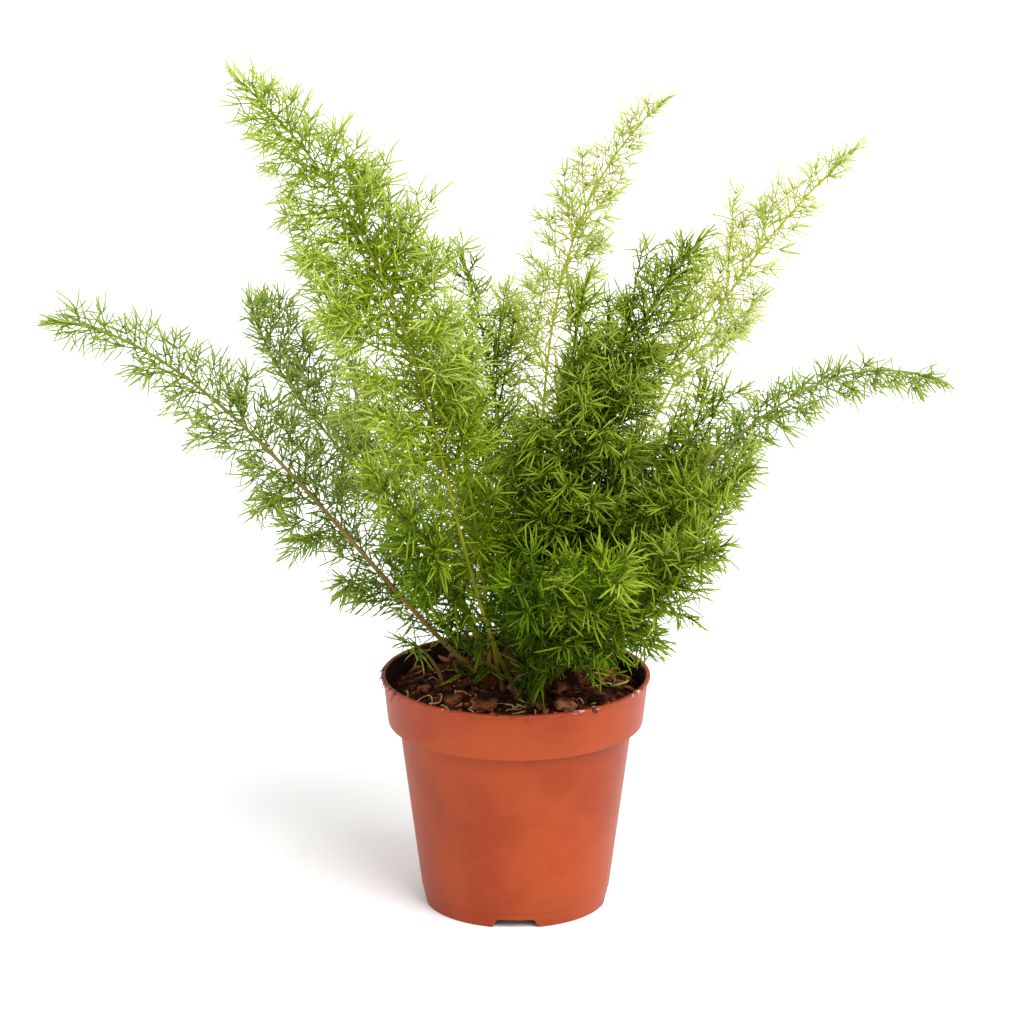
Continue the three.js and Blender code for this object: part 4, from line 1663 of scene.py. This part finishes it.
FROND_PLANS = tuple(FrondPlan(*row) for row in (
    ("low_left", (-15, 10), (-61, -7, 139), (-117, -37, 248), (-177, -62, 260), 29, 0.17, Green.MID),
    ("tall_left", (0, -10), (-35, -55, 176), (-23, -64, 279), (-107, -31, 348), 44, 0.36, Green.FRESH),
    ("bright_front", (-6, -4), (-14, -21, 140), (-17, -45, 186), (-25, -46, 236), 22, 0.16, Green.FRESH),
    ("back_light", (6, 16), (16, 54, 159), (-4, 84, 258), (61, 100, 314), 27, 0.34, Green.PALE),
    ("right_light", (12, 13), (43, 42, 164), (75, 80, 238), (141, 98, 294), 28, 0.38, Green.PALE),
    ("low_right", (18, 9), (43, 31, 139), (112, 69, 230), (178, 92, 196), 24, 0.2, Green.MID),
    ("dark_left", (-12, 18), (-24, 33, 154), (-92, 57, 174), (-110, 76, 233), 30, 0.2, Green.MID),
    ("dark_left_tall", (-7, 13), (-68, 14, 134), (-54, 44, 205), (-86, 56, 260), 28, 0.2, Green.MID),
    ("dark_right", (12, 2), (24, -15, 155), (25, -35, 228), (72, -16, 281), 33, 0.12, Green.DEEP),
    ("mid_left", (-3, 9), (0, 25, 153), (-6, 36, 213), (-22, 42, 262), 26, 0.14, Green.DEEP),
    ("centre", (5, -4), (12, -14, 149), (16, -33, 208), (27, -34, 267), 30, 0.1, Green.DEEP),
    ("right_high", (17, -3), (37, -16, 134), (52, -47, 175), (90, -62, 201), 29, 0.14, Green.DEEP),
    ("right_front", (12, -9), (34, -36, 126), (48, -71, 158), (79, -100, 181), 29, 0.14, Green.DEEP),
    ("right_low", (21, 3), (31, -5, 108), (53, -17, 137), (71, -30, 129), 21, 0.2, Green.DEEP),
    ("front_middle", (5, -14), (6, -37, 131), (10, -82, 149), (9, -122, 175), 24, 0.08, Green.DEEP),
    ("front_right", (10, -15), (21, -42, 127), (26, -79, 153), (33, -116, 175), 25, 0.1, Green.DEEP),
    ("front_left", (-11, -9), (-15, -41, 134), (-31, -75, 173), (-56, -98, 211), 24, 0.12, Green.DEEP),
    ("back_left", (-4, 22), (-1, 62, 124), (-14, 90, 177), (-34, 120, 219), 32, 0.2, Green.DEEP),
    ("back_right", (3, 28), (18, 60, 124), (23, 86, 179), (46, 122, 208), 32, 0.2, Green.DEEP),
    ("back_low_left", (-12, 26), (-6, 63, 102), (-29, 88, 141), (-50, 120, 157), 30, 0.25, Green.MID),
    ("back_low_right", (12, 23), (31, 61, 97), (56, 83, 144), (82, 120, 151), 32, 0.25, Green.MID),
    ("sprig_left", (-30, 4), (-33, 4, 101), (-38, 0, 108), (-44, -6, 112), 10, 0.5, Green.MID),
))


@dataclass(frozen=True)
class Habit:
    """How a frond differs from the usual.

    tone makes it paler, fullness gives it more twigs, and open_front is the share of the twigs
    towards the front that stand aside. needle and wide are a needle's length and width, extra is
    how many more of them a tuft has, and lean is a twig's angle to the stem. spread scales the
    plume, root_share and tip_share are how wide it is at its ends, widest_at is where it is
    widest, taper the power that it narrows by, and a crowd below 1 sets more twigs near the tip.
    girth scales the stem's thickness. A twig that points along bias, in x and z, is longer by
    that share. The whorl at a twig's end gets painted light: star is how much paler it is. stars
    are the shares of the stem that carry a whorl of their own, and boughs are set twigs, each from
    a share to a place.
    """

    tone: float = 0.0
    fullness: float = 1.0
    open_front: float = 0.0
    needle: float = 8.6
    wide: float = 0.68
    extra: int = 0
    lean: float = 1.12
    spread: float = 1.0
    root_share: float = 0.75
    widest_at: float = 0.3
    tip_share: float = 0.3
    taper: float = 1.0
    crowd: float = 1.0
    girth: float = 1.0
    bias: tuple[float, float] = (0.0, 0.0)
    # painted light on the whorl at a twig's end
    star_light: float = 0.2
    stars: tuple[float, ...] = ()
    boughs: tuple[tuple[float, Triple], ...] = ()


HABITS: dict[str, Habit] = {
    "low_left": Habit(
        tone=0.03, fullness=1.6, open_front=0.6, needle=8.8, wide=0.8, lean=1.2, spread=0.78,
        root_share=0.8, tip_share=0.5, girth=1.3, bias=(0.0, 0.04),
        boughs=(
            (0.82, (-145, -44, 234)), (0.73, (-134, -38, 221)), (0.62, (-125, -34, 206)),
            (0.5, (-104, -26, 173)), (0.4, (-89, -16, 152)), (0.31, (-68, -10, 133)),
            (0.2, (-62, -8, 131)), (0.24, (-57, -8, 137)),
        ),
    ),
    "tall_left": Habit(
        tone=0.02, fullness=2.1, open_front=0.55, needle=9.2, wide=0.78, lean=1.25, spread=0.84,
        tip_share=0.28, bias=(-0.1, 0.0), stars=(0.14, 0.19, 0.235, 0.31),
        boughs=(
            (0.9, (-83, -34, 336)), (0.82, (-62, -40, 323)), (0.74, (-51, -46, 317)),
            (0.68, (-33, -50, 299)), (0.63, (-22, -46, 286)), (0.61, (-28, -48, 280)),
            (0.78, (-88, -46, 298)), (0.65, (-80, -52, 278)),
        ),
    ),
    "bright_front": Habit(tone=-0.28, fullness=1.2, needle=9.6),
    "back_light": Habit(
        fullness=1.7, open_front=0.5, needle=7.8, wide=0.76, lean=1.2, spread=0.9, root_share=0.6,
        tip_share=0.2, crowd=0.9, girth=0.85,
        boughs=(
            (0.74, (42, 92, 281)), (0.5, (-2, 76, 236)), (0.72, (20, 90, 281)),
            (0.78, (27, 90, 289)),
        ),
    ),
    "right_light": Habit(
        fullness=1.55, open_front=0.5, needle=7.8, wide=0.76, lean=1.15, spread=0.78,
        root_share=0.35, widest_at=0.4, tip_share=0.2, crowd=0.75, girth=0.85, bias=(-0.15, 0.0),
        boughs=(
            (0.68, (89, 90, 270)), (0.76, (107, 90, 276)), (0.52, (92, 66, 222)),
            (0.56, (100, 80, 231)),
        ),
    ),
    "low_right": Habit(
        tone=-0.02, fullness=2.6, open_front=0.4, needle=8.2, wide=0.8, extra=1, lean=1.15,
        spread=0.72, root_share=1.0, tip_share=0.5, taper=0.7, bias=(0.0, -0.25),
    ),
    "dark_left": Habit(
        tone=0.26, fullness=1.6, needle=8.8, wide=0.78, spread=0.6, root_share=0.6, tip_share=0.6,
        crowd=0.75, bias=(0.8, 0.0),
        boughs=((0.8, (-84, 66, 214)), (0.85, (-93, 70, 223))),
    ),
    "dark_left_tall": Habit(
        tone=0.38, fullness=1.1, needle=9.0, wide=0.76, spread=0.7, tip_share=0.2,
        boughs=((0.13, (-33, 6, 114)), (0.16, (-41, 8, 118)), (0.2, (-46, 10, 122))),
    ),
    "dark_right": Habit(
        tone=0.05, fullness=2.3, open_front=0.2, needle=9.0, wide=0.72, extra=1, spread=1.12,
        tip_share=0.1,
        boughs=(
            (0.42, (48, -16, 198)), (0.38, (50, -20, 186)), (0.4, (53, -10, 191)),
            (0.5, (67, -18, 222)), (0.58, (67, -18, 238)), (0.66, (67, -16, 256)),
            (0.64, (36, -28, 258)), (0.7, (47, -24, 270)),
        ),
    ),
    "mid_left": Habit(
        tone=0.14, fullness=1.4, tip_share=0.1,
        boughs=(
            (0.7, (-5, 40, 243)), (0.62, (-1, 38, 229)), (0.66, (-6, 32, 234)),
            (0.56, (11, 34, 214)), (0.5, (12, 34, 204)),
        ),
    ),
    "front_middle": Habit(
        tone=-0.26, fullness=0.8, needle=9.4, wide=0.86, spread=1.05, tip_share=0.65, crowd=1.25,
        star_light=0.3,
        boughs=((0.08, (6, -26, 100)),),
    ),
    "front_right": Habit(
        tone=-0.04, fullness=0.85, needle=9.4, wide=0.86, spread=1.05, tip_share=0.65, crowd=1.25,
        star_light=0.34,
    ),
    "front_left": Habit(
        fullness=1.1, needle=9.8, wide=0.84, extra=1, star_light=0.3,
        boughs=((0.08, (-22, -15, 101)), (0.14, (-26, -12, 114))),
    ),
    "right_front": Habit(
        tone=0.08, fullness=1.25, needle=8.8, wide=0.8, extra=1, tip_share=0.15,
        boughs=(
            (0.68, (72, -84, 181)), (0.72, (70, -74, 154)), (0.6, (76, -82, 186)),
            (0.5, (79, -70, 190)),
        ),
    ),
    "right_high": Habit(
        tone=0.06, fullness=1.6, needle=8.6, wide=0.78, extra=1, tip_share=0.3, bias=(0.0, 0.3),
        boughs=(
            (0.62, (74, -40, 229)), (0.58, (69, -36, 220)), (0.5, (60, -30, 208)),
            (0.44, (53, -26, 201)), (0.66, (77, -44, 221)), (0.85, (84, -62, 190)),
            (0.9, (88, -58, 202)),
        ),
    ),
    "right_low": Habit(tone=0.2, fullness=0.7, needle=6.0, spread=0.6, tip_share=0.1),
    "centre": Habit(tone=0.04, fullness=1.4, needle=9.2, wide=0.8, extra=1, tip_share=0.35),
    "sprig_left": Habit(tone=0.3, needle=8.6, bias=(0.8, -0.6)),
}

FREE_STEMS: dict[str, Pair] = {
    "tall_left": (0.0, 0.92),
    "low_left": (0.03, 0.9),
    "right_light": (0.41, 0.92),
    "back_light": (0.42, 0.9),
    "low_right": (0.45, 0.85),
}

SHOWN_SPOTS: tuple[tuple[Triple, float], ...] = (
    ((17.0, -9.0, 97.0), 5.0),
    ((23.0, -9.0, 100.0), 5.5),
    ((42.5, -4.0, 93.5), 5.5),
    ((36.0, -8.0, 94.0), 4.0),
)

NECK = 1.2


class StemLine:
    """The line of a frond's stem, read by the share of its length from the ground."""

    steps: int = 240

    def __init__(self, plan: FrondPlan, ground: Ground) -> None:
        """Works out the line's points, directions and frame.

        Args:
            plan: The frond.
            ground: What it grows from.
        """
        start = (*plan.root, ground.height(*plan.root) + NECK)
        corners = np.array((start, plan.lower, plan.upper, plan.tip), dtype=float)
        share = np.linspace(0, 1, self.steps)[:, None]
        rest = 1 - share
        weights = (rest**3, 3 * share * rest**2, 3 * share**2 * rest, share**3)
        self.points = sum(weight * corner for weight, corner in zip(weights, corners))
        self.along = unit(np.gradient(self.points, axis=0))
        runs = np.linalg.norm(np.diff(self.points, axis=0), axis=1)
        reached = np.concatenate(([0.0], np.cumsum(runs)))
        self.length = float(reached[-1])
        self.shares = reached / self.length
        side = square_to(self.along[:1], np.array(((0.0, -1.0, 0.1),)))[0]
        sides = []
        for direction in self.along:
            side = square_to(direction, side)
            sides.append(side)
        self.side = np.array(sides)

    def _read(self, table: Array, share: float) -> Array:
        """Returns what a table says at a share of the length."""
        return np.array([np.interp(share, self.shares, table[:, axis]) for axis in range(3)])

    def at(self, share: float) -> tuple[Array, Array, Array]:
        """Returns the point, the direction and a side direction at a share of the length."""
        along = unit(self._read(self.along, share))
        return self._read(self.points, share), along, square_to(along, self._read(self.side, share))


@dataclass
class Frond:
    """A frond: a wiry stem, twigs all round it, and needles in tufts along the twigs.

    foot is how deep the stem stands in the compost. A needle's tip curls by curl times one of
    curls, sways by sway and hangs by droop, as shares of its length. Painted shade and light: from
    middle, the dark middle of the plant, the needles are painted paler between shade_radius and
    bright_radius, and a twig's inner tufts darker. A lean is an angle to a stem or twig in radians,
    and a pair is the least and the greatest value.
    """

    plan: FrondPlan
    ground: Ground
    seed: int
    keep: KeepClear
    foot: float = 8.0
    root_radius: float = 0.88
    tip_radius: float = 0.46
    stem_steps: int = 46
    stem_sides: int = 8
    twig_spacing: float = 3.5
    twig_steps: int = 17
    twig_radius: float = 0.36
    spur_radius: float = 0.28
    twig_tip: float = 0.22
    twig_curl: Pair = (0.04, 0.24)
    twig_sides: int = 4
    tuft_spacing: float = 3.7
    tuft_counts: tuple[int, ...] = (3, 4, 5)
    tuft_odds: Triple = (0.35, 0.45, 0.2)
    tuft_lean: Pair = (0.9, 1.45)
    star_lean: Pair = (0.4, 1.3)
    stem_tuft_lean: Pair = (0.8, 1.4)
    whorl_lean: Pair = (1.1, 1.6)
    top_lean: Pair = (0.12, 0.7)
    below_top_lean: Pair = (0.45, 0.9)
    twig_reach: Pair = (0.74, 1.06)
    aside: float = 1.2
    least_twig: float = 3.5
    spurs_from: float = 12.0
    spur_share: float = 0.6
    spur_stretch: Pair = (0.2, 0.86)
    spur_lean: Pair = (0.7, 1.0)
    leafy_to: float = 0.97
    uneven: float = 0.28
    twist: float = 0.3
    stand_off: float = 0.2
    curl: Pair = (0.25, 0.95)
    curls: tuple[float, ...] = (1.0, 1.0, 1.0, -0.7)
    sway: float = 0.34
    droop: Pair = (0.04, 0.3)
    sizes: Pair = (0.72, 1.18)
    mottle: float = 0.07
    # painted light: how much paler the needles are painted away from the dark middle
    paler: float = 0.84
    middle: Triple = (-14.0, -60.0, 112.0)
    shade_radius: float = 26.0
    bright_radius: float = 130.0
    tip_tufts: tuple[float, ...] = (2.5, 5.5, 8.5)

    def __post_init__(self) -> None:
        """Sets out the stem's line and empty batches for what grows on it."""
        self.line = StemLine(self.plan, self.ground)
        self.draw = np.random.default_rng(self.seed)
        self.habit = HABITS.get(self.plan.name, Habit())
        self.needles = Needles(self.habit.wide, 0.6 * self.habit.wide)
        self.twigs: list[tuple[Array, Array]] = []
        self.tone = float(self.draw.normal(0, 0.03)) + self.habit.tone

    def _light_reaching(self, spot: Array) -> float:
        """Returns how far out of the plant's dark middle a place is, from 0 to 1. It sets
        the needles' painted shade and painted light.
        """
        away = float(np.linalg.norm(spot - np.array(self.middle))) - self.shade_radius
        return min(max(away / (self.bright_radius - self.shade_radius), 0.0), 1.0)

    def _bearing(self, share: float) -> float:
        """Returns how far along the leafy stretch a share of the stem is."""
        return (share - self.plan.bare) / (1 - self.plan.bare)

    def _reach(self, share: float) -> float:
        """Works out the half width of the plume.

        Args:
            share: How far up the stem.

        Returns:
            The half width there.
        """
        bearing, habit = self._bearing(share), self.habit
        if bearing < habit.widest_at:
            size = habit.root_share + (1 - habit.root_share) * max(bearing, 0) / habit.widest_at
        else:
            past = (bearing - habit.widest_at) / (1 - habit.widest_at)
            size = 1 - (1 - habit.tip_share) * past**habit.taper
        return max(self.plan.plume * habit.spread * size, habit.needle + 1.5)

    def _tuft(
        self,
        base: Array,
        along: Array,
        count: int,
        lean: Pair,
        size: float,
        tint: float,
        held: bool = True,
    ) -> None:
        """Adds a tuft of needles round a twig.

        Args:
            base: Where it grows.
            along: The twig's direction there.
            count: How many needles it has.
            lean: How far they lean away from the twig.
            size: The needles' length, as a share of the usual one.
            tint: Their place from dark to pale.
            held: False where its twig has no room, so that the tuft is left out.
        """
        draw = self.draw
        first = square_to(along, draw.normal(size=3))
        second = np.cross(along, first)
        turn = draw.random() * ABOUT_A_TURN + np.arange(count) * FULL_TURN / count
        turn = turn + draw.normal(0, self.uneven, count)
        out = np.cos(turn)[:, None] * first + np.sin(turn)[:, None] * second
        tip = draw.uniform(*lean, count)[:, None]
        heading = unit(np.cos(tip) * along + np.sin(tip) * out)
        across = unit(np.cross(along, out))
        across = square_to(heading, across + draw.normal(0, self.twist, (count, 3)))
        normal = np.cross(heading, across)
        droop = draw.uniform(*self.droop, count)
        curl = draw.uniform(*self.curl, count) * draw.choice(self.curls, count)
        batch = (
            base + out * self.stand_off,
            heading,
            across,
            self.habit.needle * size * draw.uniform(*self.sizes, count),
            curl - droop * normal[:, 2],
            draw.normal(0.0, self.sway, count) - droop * across[:, 2],
            np.clip(tint + self.tone + draw.normal(0, self.mottle, count), 0, 1),
        )
        if held:
            self.needles.rows.append(batch)

    def _twig(
        self,
        base: Array,
        heading: Array,
        pull: Array,
        length: float,
        tint: float,
        spur: bool = False,
        held: bool = True,
    ) -> None:
        """Adds a twig with its tufts, and short spurs if it is a long one.

        Args:
            base: Where it leaves the stem.
            heading: The direction that it sets out in.
            pull: The direction that it curves towards.
            length: Its length.
            tint: Its needles' place from dark to pale.
            spur: Whether it is a spur on another twig.
            held: False for a spur whose twig has no room.
        """
        draw = self.draw
        curl = draw.uniform(*self.twig_curl)
        share = np.linspace(0, 1, self.twig_steps)[:, None]
        path = base + length * (heading * share + curl * pull * share**2)
        held = held and bool(self.keep.clear(path, twig=True).all())
        if held:
            thick = (self.spur_radius if spur else self.twig_radius) + 0.005 * length
            self.twigs.append((path[::4], np.linspace(thick, self.twig_tip, len(path[::4]))))
        count = max(1, int((length - 1.5) / self.tuft_spacing))
        for number in range(count):
            way = (number + 0.55 + draw.uniform(-0.2, 0.2)) / count
            if way > self.leafy_to:
                continue
            spot = base + length * (heading * way + curl * pull * way**2)
            along = unit(heading + 2 * curl * pull * way)
            # painted shade and light: paler away from the middle, darker on a twig's inner tufts
            tone = tint + self.paler * self._light_reaching(spot) * (0.42 + 0.58 * way)
            needles = int(draw.choice(self.tuft_counts, p=self.tuft_odds)) + self.habit.extra
            self._tuft(spot, along, needles, self.tuft_lean, 1.0 - 0.1 * way, tone, held)
            bears = not spur and length > self.spurs_from
            bears = bears and self.spur_stretch[0] < way < self.spur_stretch[1]
            if bears and draw.random() < self.spur_share:
                self._spur(spot, along, length, tint, held)
        end = base + length * (heading + curl * pull)
        along = unit(heading + 2 * curl * pull)
        # painted light: the whorl at a twig's end is paler by star
        tone = tint + self.paler * self._light_reaching(end) + self.habit.star_light
        self._tuft(end, along, int(draw.integers(5, 9)), self.star_lean, 1.0, tone, held)

    def _spur(self, spot: Array, along: Array, long: float, tint: float, held: bool) -> None:
        """Adds a spur to a twig.

        Args:
            spot: Where it leaves the twig.
            along: The twig's direction there.
            long: The twig's length.
            tint: The needles' place from dark to pale.
            held: False where the twig has no room.
        """
        side = square_to(along, self.draw.normal(size=3))
        off = self.draw.uniform(*self.spur_lean)
        out = unit(math.cos(off) * along + math.sin(off) * side)
        length = self.draw.uniform(3.5, 5 + 0.16 * long)
        self._twig(spot, out, unit(along + 0.5 * UP), length, tint, spur=True, held=held)

    def _grow_twigs(self) -> None:
        """Sets out the twigs that grow by chance, and the tufts on the stem."""
        draw, plan, habit = self.draw, self.plan, self.habit
        leafy = self.line.length * (1 - plan.bare)
        count = max(3, int(leafy * habit.fullness / self.twig_spacing))
        turn = draw.random() * ABOUT_A_TURN
        for number in range(count):
            way = ((number + 0.5 + draw.uniform(-0.25, 0.25)) / count) ** habit.crowd
            share = plan.bare + (1 - plan.bare) * way
            if share > self.leafy_to:
                continue
            base, along, side = self.line.at(share)
            turn += GOLDEN_TURN + draw.normal(0, 0.2)
            out = math.cos(turn) * side + math.sin(turn) * np.cross(along, side)
            if out[1] < -0.4 and draw.random() < habit.open_front:
                aside = turn + draw.choice((-self.aside, self.aside))
                out = math.cos(aside) * side + math.sin(aside) * np.cross(along, side)
            lean = habit.lean - 0.2 * self._bearing(share) ** 2 + draw.normal(0, 0.1)
            heading = math.cos(lean) * along + math.sin(lean) * out
            longer = 1 + habit.bias[0] * out[0] + habit.bias[1] * out[2]
            reach = (self._reach(share) * longer - 0.72 * habit.needle) / math.sin(lean)
            longest = 0.85 * (1 - share) * self.line.length + 3
            length = min(reach * draw.uniform(*self.twig_reach), longest)
            tint = 0.04 + draw.normal(0, 0.07)
            if length > self.least_twig:
                self._twig(base, heading, unit(along + 0.6 * UP), length, tint)
            if draw.random() < 0.6 - 0.6 * habit.open_front:
                # painted shade and light: paler away from the middle
                tone = tint + 0.6 * self._light_reaching(base)
                self._tuft(base, along, 2, self.stem_tuft_lean, 0.9, tone)

    def _grow_set(self) -> None:
        """Sets out the boughs, the whorls on the stem, and the tufts at its tip."""
        for share, goal in self.habit.boughs:
            base, along, _ = self.line.at(share)
            way = np.array(goal) - base
            length = float(np.linalg.norm(way))
            self._twig(base, unit(way - 0.1 * length * UP), unit(along + UP), length, 0.06)
        for share in self.habit.stars:
            base, along, _ = self.line.at(share)
            self._tuft(base, along, int(self.draw.integers(6, 9)), self.whorl_lean, 0.9, 0.62)
        end, along, _ = self.line.at(1.0)
        # painted shade and light: paler away from the middle
        tone = 0.25 + 0.6 * self._light_reaching(end)
        self._tuft(end, along, 7, self.top_lean, 0.95, tone)
        for back in self.tip_tufts:
            base, along, _ = self.line.at(1 - back / self.line.length)
            self._tuft(base, along, 4, self.below_top_lean, 0.9, tone - 0.08)

    def _stem(self) -> Skin:
        """Makes the stem, from its foot in the compost to its tip.

        Returns:
            Its skin.
        """
        shares = np.linspace(0, 1, self.stem_steps)
        line = np.array([self.line.at(share)[0] for share in shares])
        path = np.concatenate(((line[0] - UP * self.foot)[None], line))
        thick = self.tip_radius + (self.root_radius - self.tip_radius) * (1 - shares) ** 1.4
        thick = self.habit.girth * np.concatenate(([self.root_radius * 1.05], thick))
        heights = np.concatenate(([0.0], shares * (NeedleMap.stem_top - 0.01) + 0.01))
        return Skin().tubes(path[None], thick[None], self.stem_sides, heights[None])

    def build(self, foliage: Material) -> list[Piece]:
        """Makes the frond.

        Args:
            foliage: Its green.

        Returns:
            The frond as one piece.
        """
        skin = self._stem()
        self._grow_twigs()
        self._grow_set()
        paths, radii = (np.array(part) for part in zip(*self.twigs))
        heights = np.linspace(NeedleMap.twig_foot, 0.99, radii.shape[1])
        skin.tubes(paths, radii, self.twig_sides, np.broadcast_to(heights, radii.shape))
        count = self.needles.into(skin, self.keep)
        piece = skin.piece(f"spray_{self.plan.name}", [foliage], mapped=True)
        LOG.info("%s has %d needles", piece.name, count)
        return [hand_over(piece, self.plan.green.value, f"frond_{self.plan.name}")]


@dataclass
class Fern:
    """The whole plant."""

    ground: Ground
    plans: tuple[FrondPlan, ...] = FROND_PLANS
    own_width: float = 1.0
    own_ahead: float = 0.7
    seed: int = 500

    def build(self, greens: Mapping[Green, Material]) -> list[Piece]:
        """Makes every frond.

        Args:
            greens: The material of each green.

        Returns:
            One piece for each frond.
        """
        made = []
        for number, plan in enumerate(self.plans):
            keep = KeepClear(self.ground, self._free_lines(plan))
            made += Frond(plan, self.ground, self.seed + number, keep).build(greens[plan.green])
        return made

    def _free_lines(self, own: FrondPlan) -> tuple[FreeLine, ...]:
        """Sets out what the needles of a frond may not cover.

        Args:
            own: The frond.

        Returns:
            The stems that hang free, with less room before the frond's own one, and the spots on
            the compost that stay in view.
        """
        lines = []
        for plan in self.plans:
            if plan.name in FREE_STEMS:
                low, high = FREE_STEMS[plan.name]
                line = StemLine(plan, self.ground)
                points = line.points[(line.shares >= low) & (line.shares <= high)]
                room = (self.own_width, self.own_ahead) if plan is own else ()
                lines.append(FreeLine(points, *room))
        for spot, width in SHOWN_SPOTS:
            lines.append(FreeLine(np.array([spot]), width, twigs_may_pass=True))
        return tuple(lines)


# ---- studio


@dataclass
class Studio:
    """A white floor, soft light from the upper right and a long lens that looks down a little.

    Its places and the floor's radius are in metres, and its angles in degrees.
    """

    floor_radius: float = 6.0
    camera_place: Triple = (-0.0015, -1.790, 0.6854)
    camera_dip: float = 16.2
    lens: float = 162.1
    sensor: float = 36.0
    sees_to: float = 50.0
    sky: float = 1.04
    sun: float = 3.9
    sun_spread: float = 46.0
    sun_place: Triple = (1.15, -1.25, 1.75)

    def _floor(self) -> None:
        """Lays the floor."""
        form = bmesh.new()
        bmesh.ops.create_circle(form, cap_ends=True, segments=96, radius=self.floor_radius)
        mesh = bpy.data.meshes.new("studio_floor")
        form.to_mesh(mesh)
        form.free()
        mesh.materials.append(FloorFinish().material())
        linked("studio_floor", mesh)

    def _lights(self) -> None:
        """Lights the scene all round, and hangs the wide main light in front on the right."""
        world = bpy.data.worlds.new("studio")
        world.use_nodes = True
        backdrop = world.node_tree.nodes["Background"]
        backdrop.inputs["Color"].default_value = (1.0, 1.0, 1.0, 1.0)
        backdrop.inputs["Strength"].default_value = self.sky
        bpy.context.scene.world = world
        light = bpy.data.lights.new("key", "SUN")
        light.energy, light.angle = self.sun, math.radians(self.sun_spread)
        lamp = linked("key", light)
        lamp.location = self.sun_place
        lamp.rotation_euler = (-Vector(self.sun_place)).to_track_quat("-Z", "Y").to_euler()

    def _camera(self) -> None:
        """Sets up the camera."""
        lens = bpy.data.cameras.new("camera")
        lens.lens, lens.sensor_width, lens.clip_end = self.lens, self.sensor, self.sees_to
        camera = linked("camera", lens)
        camera.location = self.camera_place
        camera.rotation_euler = (math.radians(90 - self.camera_dip), 0, 0)
        bpy.context.scene.camera = camera
        bpy.context.scene.view_settings.view_transform = "Standard"

    def build(self) -> None:
        """Sets up the floor, the lights and the camera."""
        self._floor()
        self._lights()
        self._camera()


GREEN_FINISHES: dict[Green, FoliageFinish] = {
    Green.FRESH: FoliageFinish(
        "fresh_needles", deep=(0.12, 0.19, 0.002), green=(0.29, 0.41, 0.01),
        bright=(0.48, 0.6, 0.045), tip=(0.55, 0.65, 0.14), glow=(0.58, 0.72, 0.06),
        stem=(0.4, 0.38, 0.03), stem_tip=(0.17, 0.24, 0.012), twig=(0.26, 0.35, 0.02),
        stem_foot=(0.12, 0.04, 0.015), woody_to=0.05, thinness=0.4,
    ),
    # pale yellow-green needles, whose whitish paleness is partly painted light for a bright haze
    Green.PALE: FoliageFinish(
        "pale_needles", deep=(0.52, 0.57, 0.1), green=(0.6, 0.65, 0.17), bright=(0.66, 0.71, 0.27),
        tip=(0.7, 0.74, 0.38), glow=(0.84, 0.9, 0.26), stem=(0.3, 0.28, 0.02),
        stem_tip=(0.34, 0.36, 0.035), twig=(0.48, 0.54, 0.1), thinness=0.5,
    ),
    Green.MID: FoliageFinish(
        "mid_needles", deep=(0.05, 0.095, 0.003), green=(0.19, 0.3, 0.02),
        bright=(0.35, 0.48, 0.065), tip=(0.42, 0.53, 0.12), glow=(0.46, 0.62, 0.06),
        stem=(0.27, 0.21, 0.06), stem_tip=(0.22, 0.25, 0.045), twig=(0.22, 0.3, 0.04),
        stem_foot=(0.42, 0.17, 0.08), woody_to=0.2, thinness=0.4,
    ),
    Green.DEEP: FoliageFinish(
        "deep_needles", deep=(0.012, 0.03, 0.0006), green=(0.09, 0.165, 0.003),
        bright=(0.24, 0.355, 0.012), tip=(0.38, 0.48, 0.05), glow=(0.3, 0.46, 0.006),
        stem=(0.17, 0.2, 0.015), stem_tip=(0.12, 0.18, 0.01), twig=(0.07, 0.11, 0.005),
        stem_foot=(0.13, 0.036, 0.015), woody_to=0.09, thinness=0.3,
    ),
}


def greens() -> dict[Green, Material]:
    """Returns the material of each green."""
    return {green: finish.material() for green, finish in GREEN_FINISHES.items()}


def main() -> None:
    """Builds the studio, the pot, what lies in it and the plant, in that order."""
    logging.basicConfig(level=logging.INFO, format="%(name)s: %(message)s")
    Studio().build()
    pot, ground = NurseryPot(), Ground()
    bark = BarkFinish().material()
    grit = FibreFinish("white_grit", (0.62, 0.5, 0.36), (0.4, 0.26, 0.15)).material()
    dry = FibreFinish("dry_stalk", (0.34, 0.1, 0.045), (0.12, 0.032, 0.014)).material()
    root = FibreFinish("tan_root", (0.66, 0.43, 0.22), (0.34, 0.17, 0.07)).material()
    hair = FibreFinish("dark_hair", (0.06, 0.018, 0.014), (0.02, 0.008, 0.006)).material()
    faded = FibreFinish("faded_needle", (0.5, 0.52, 0.08), (0.3, 0.26, 0.05)).material()
    made = pot.build(PotPlastic().material())
    made += Compost(ground, pot).build([CompostFinish().material(), bark, grit])
    made += BarkMulch(ground).build(bark)
    made += OldStub(ground).build(dry)
    made += LooseBits(ground).build(root, hair, faded)
    made += Fern(ground).build(greens())
    LOG.info("%d pieces with %d faces", len(made), sum(len(piece.data.polygons) for piece in made))


if __name__ == "__main__":
    main()
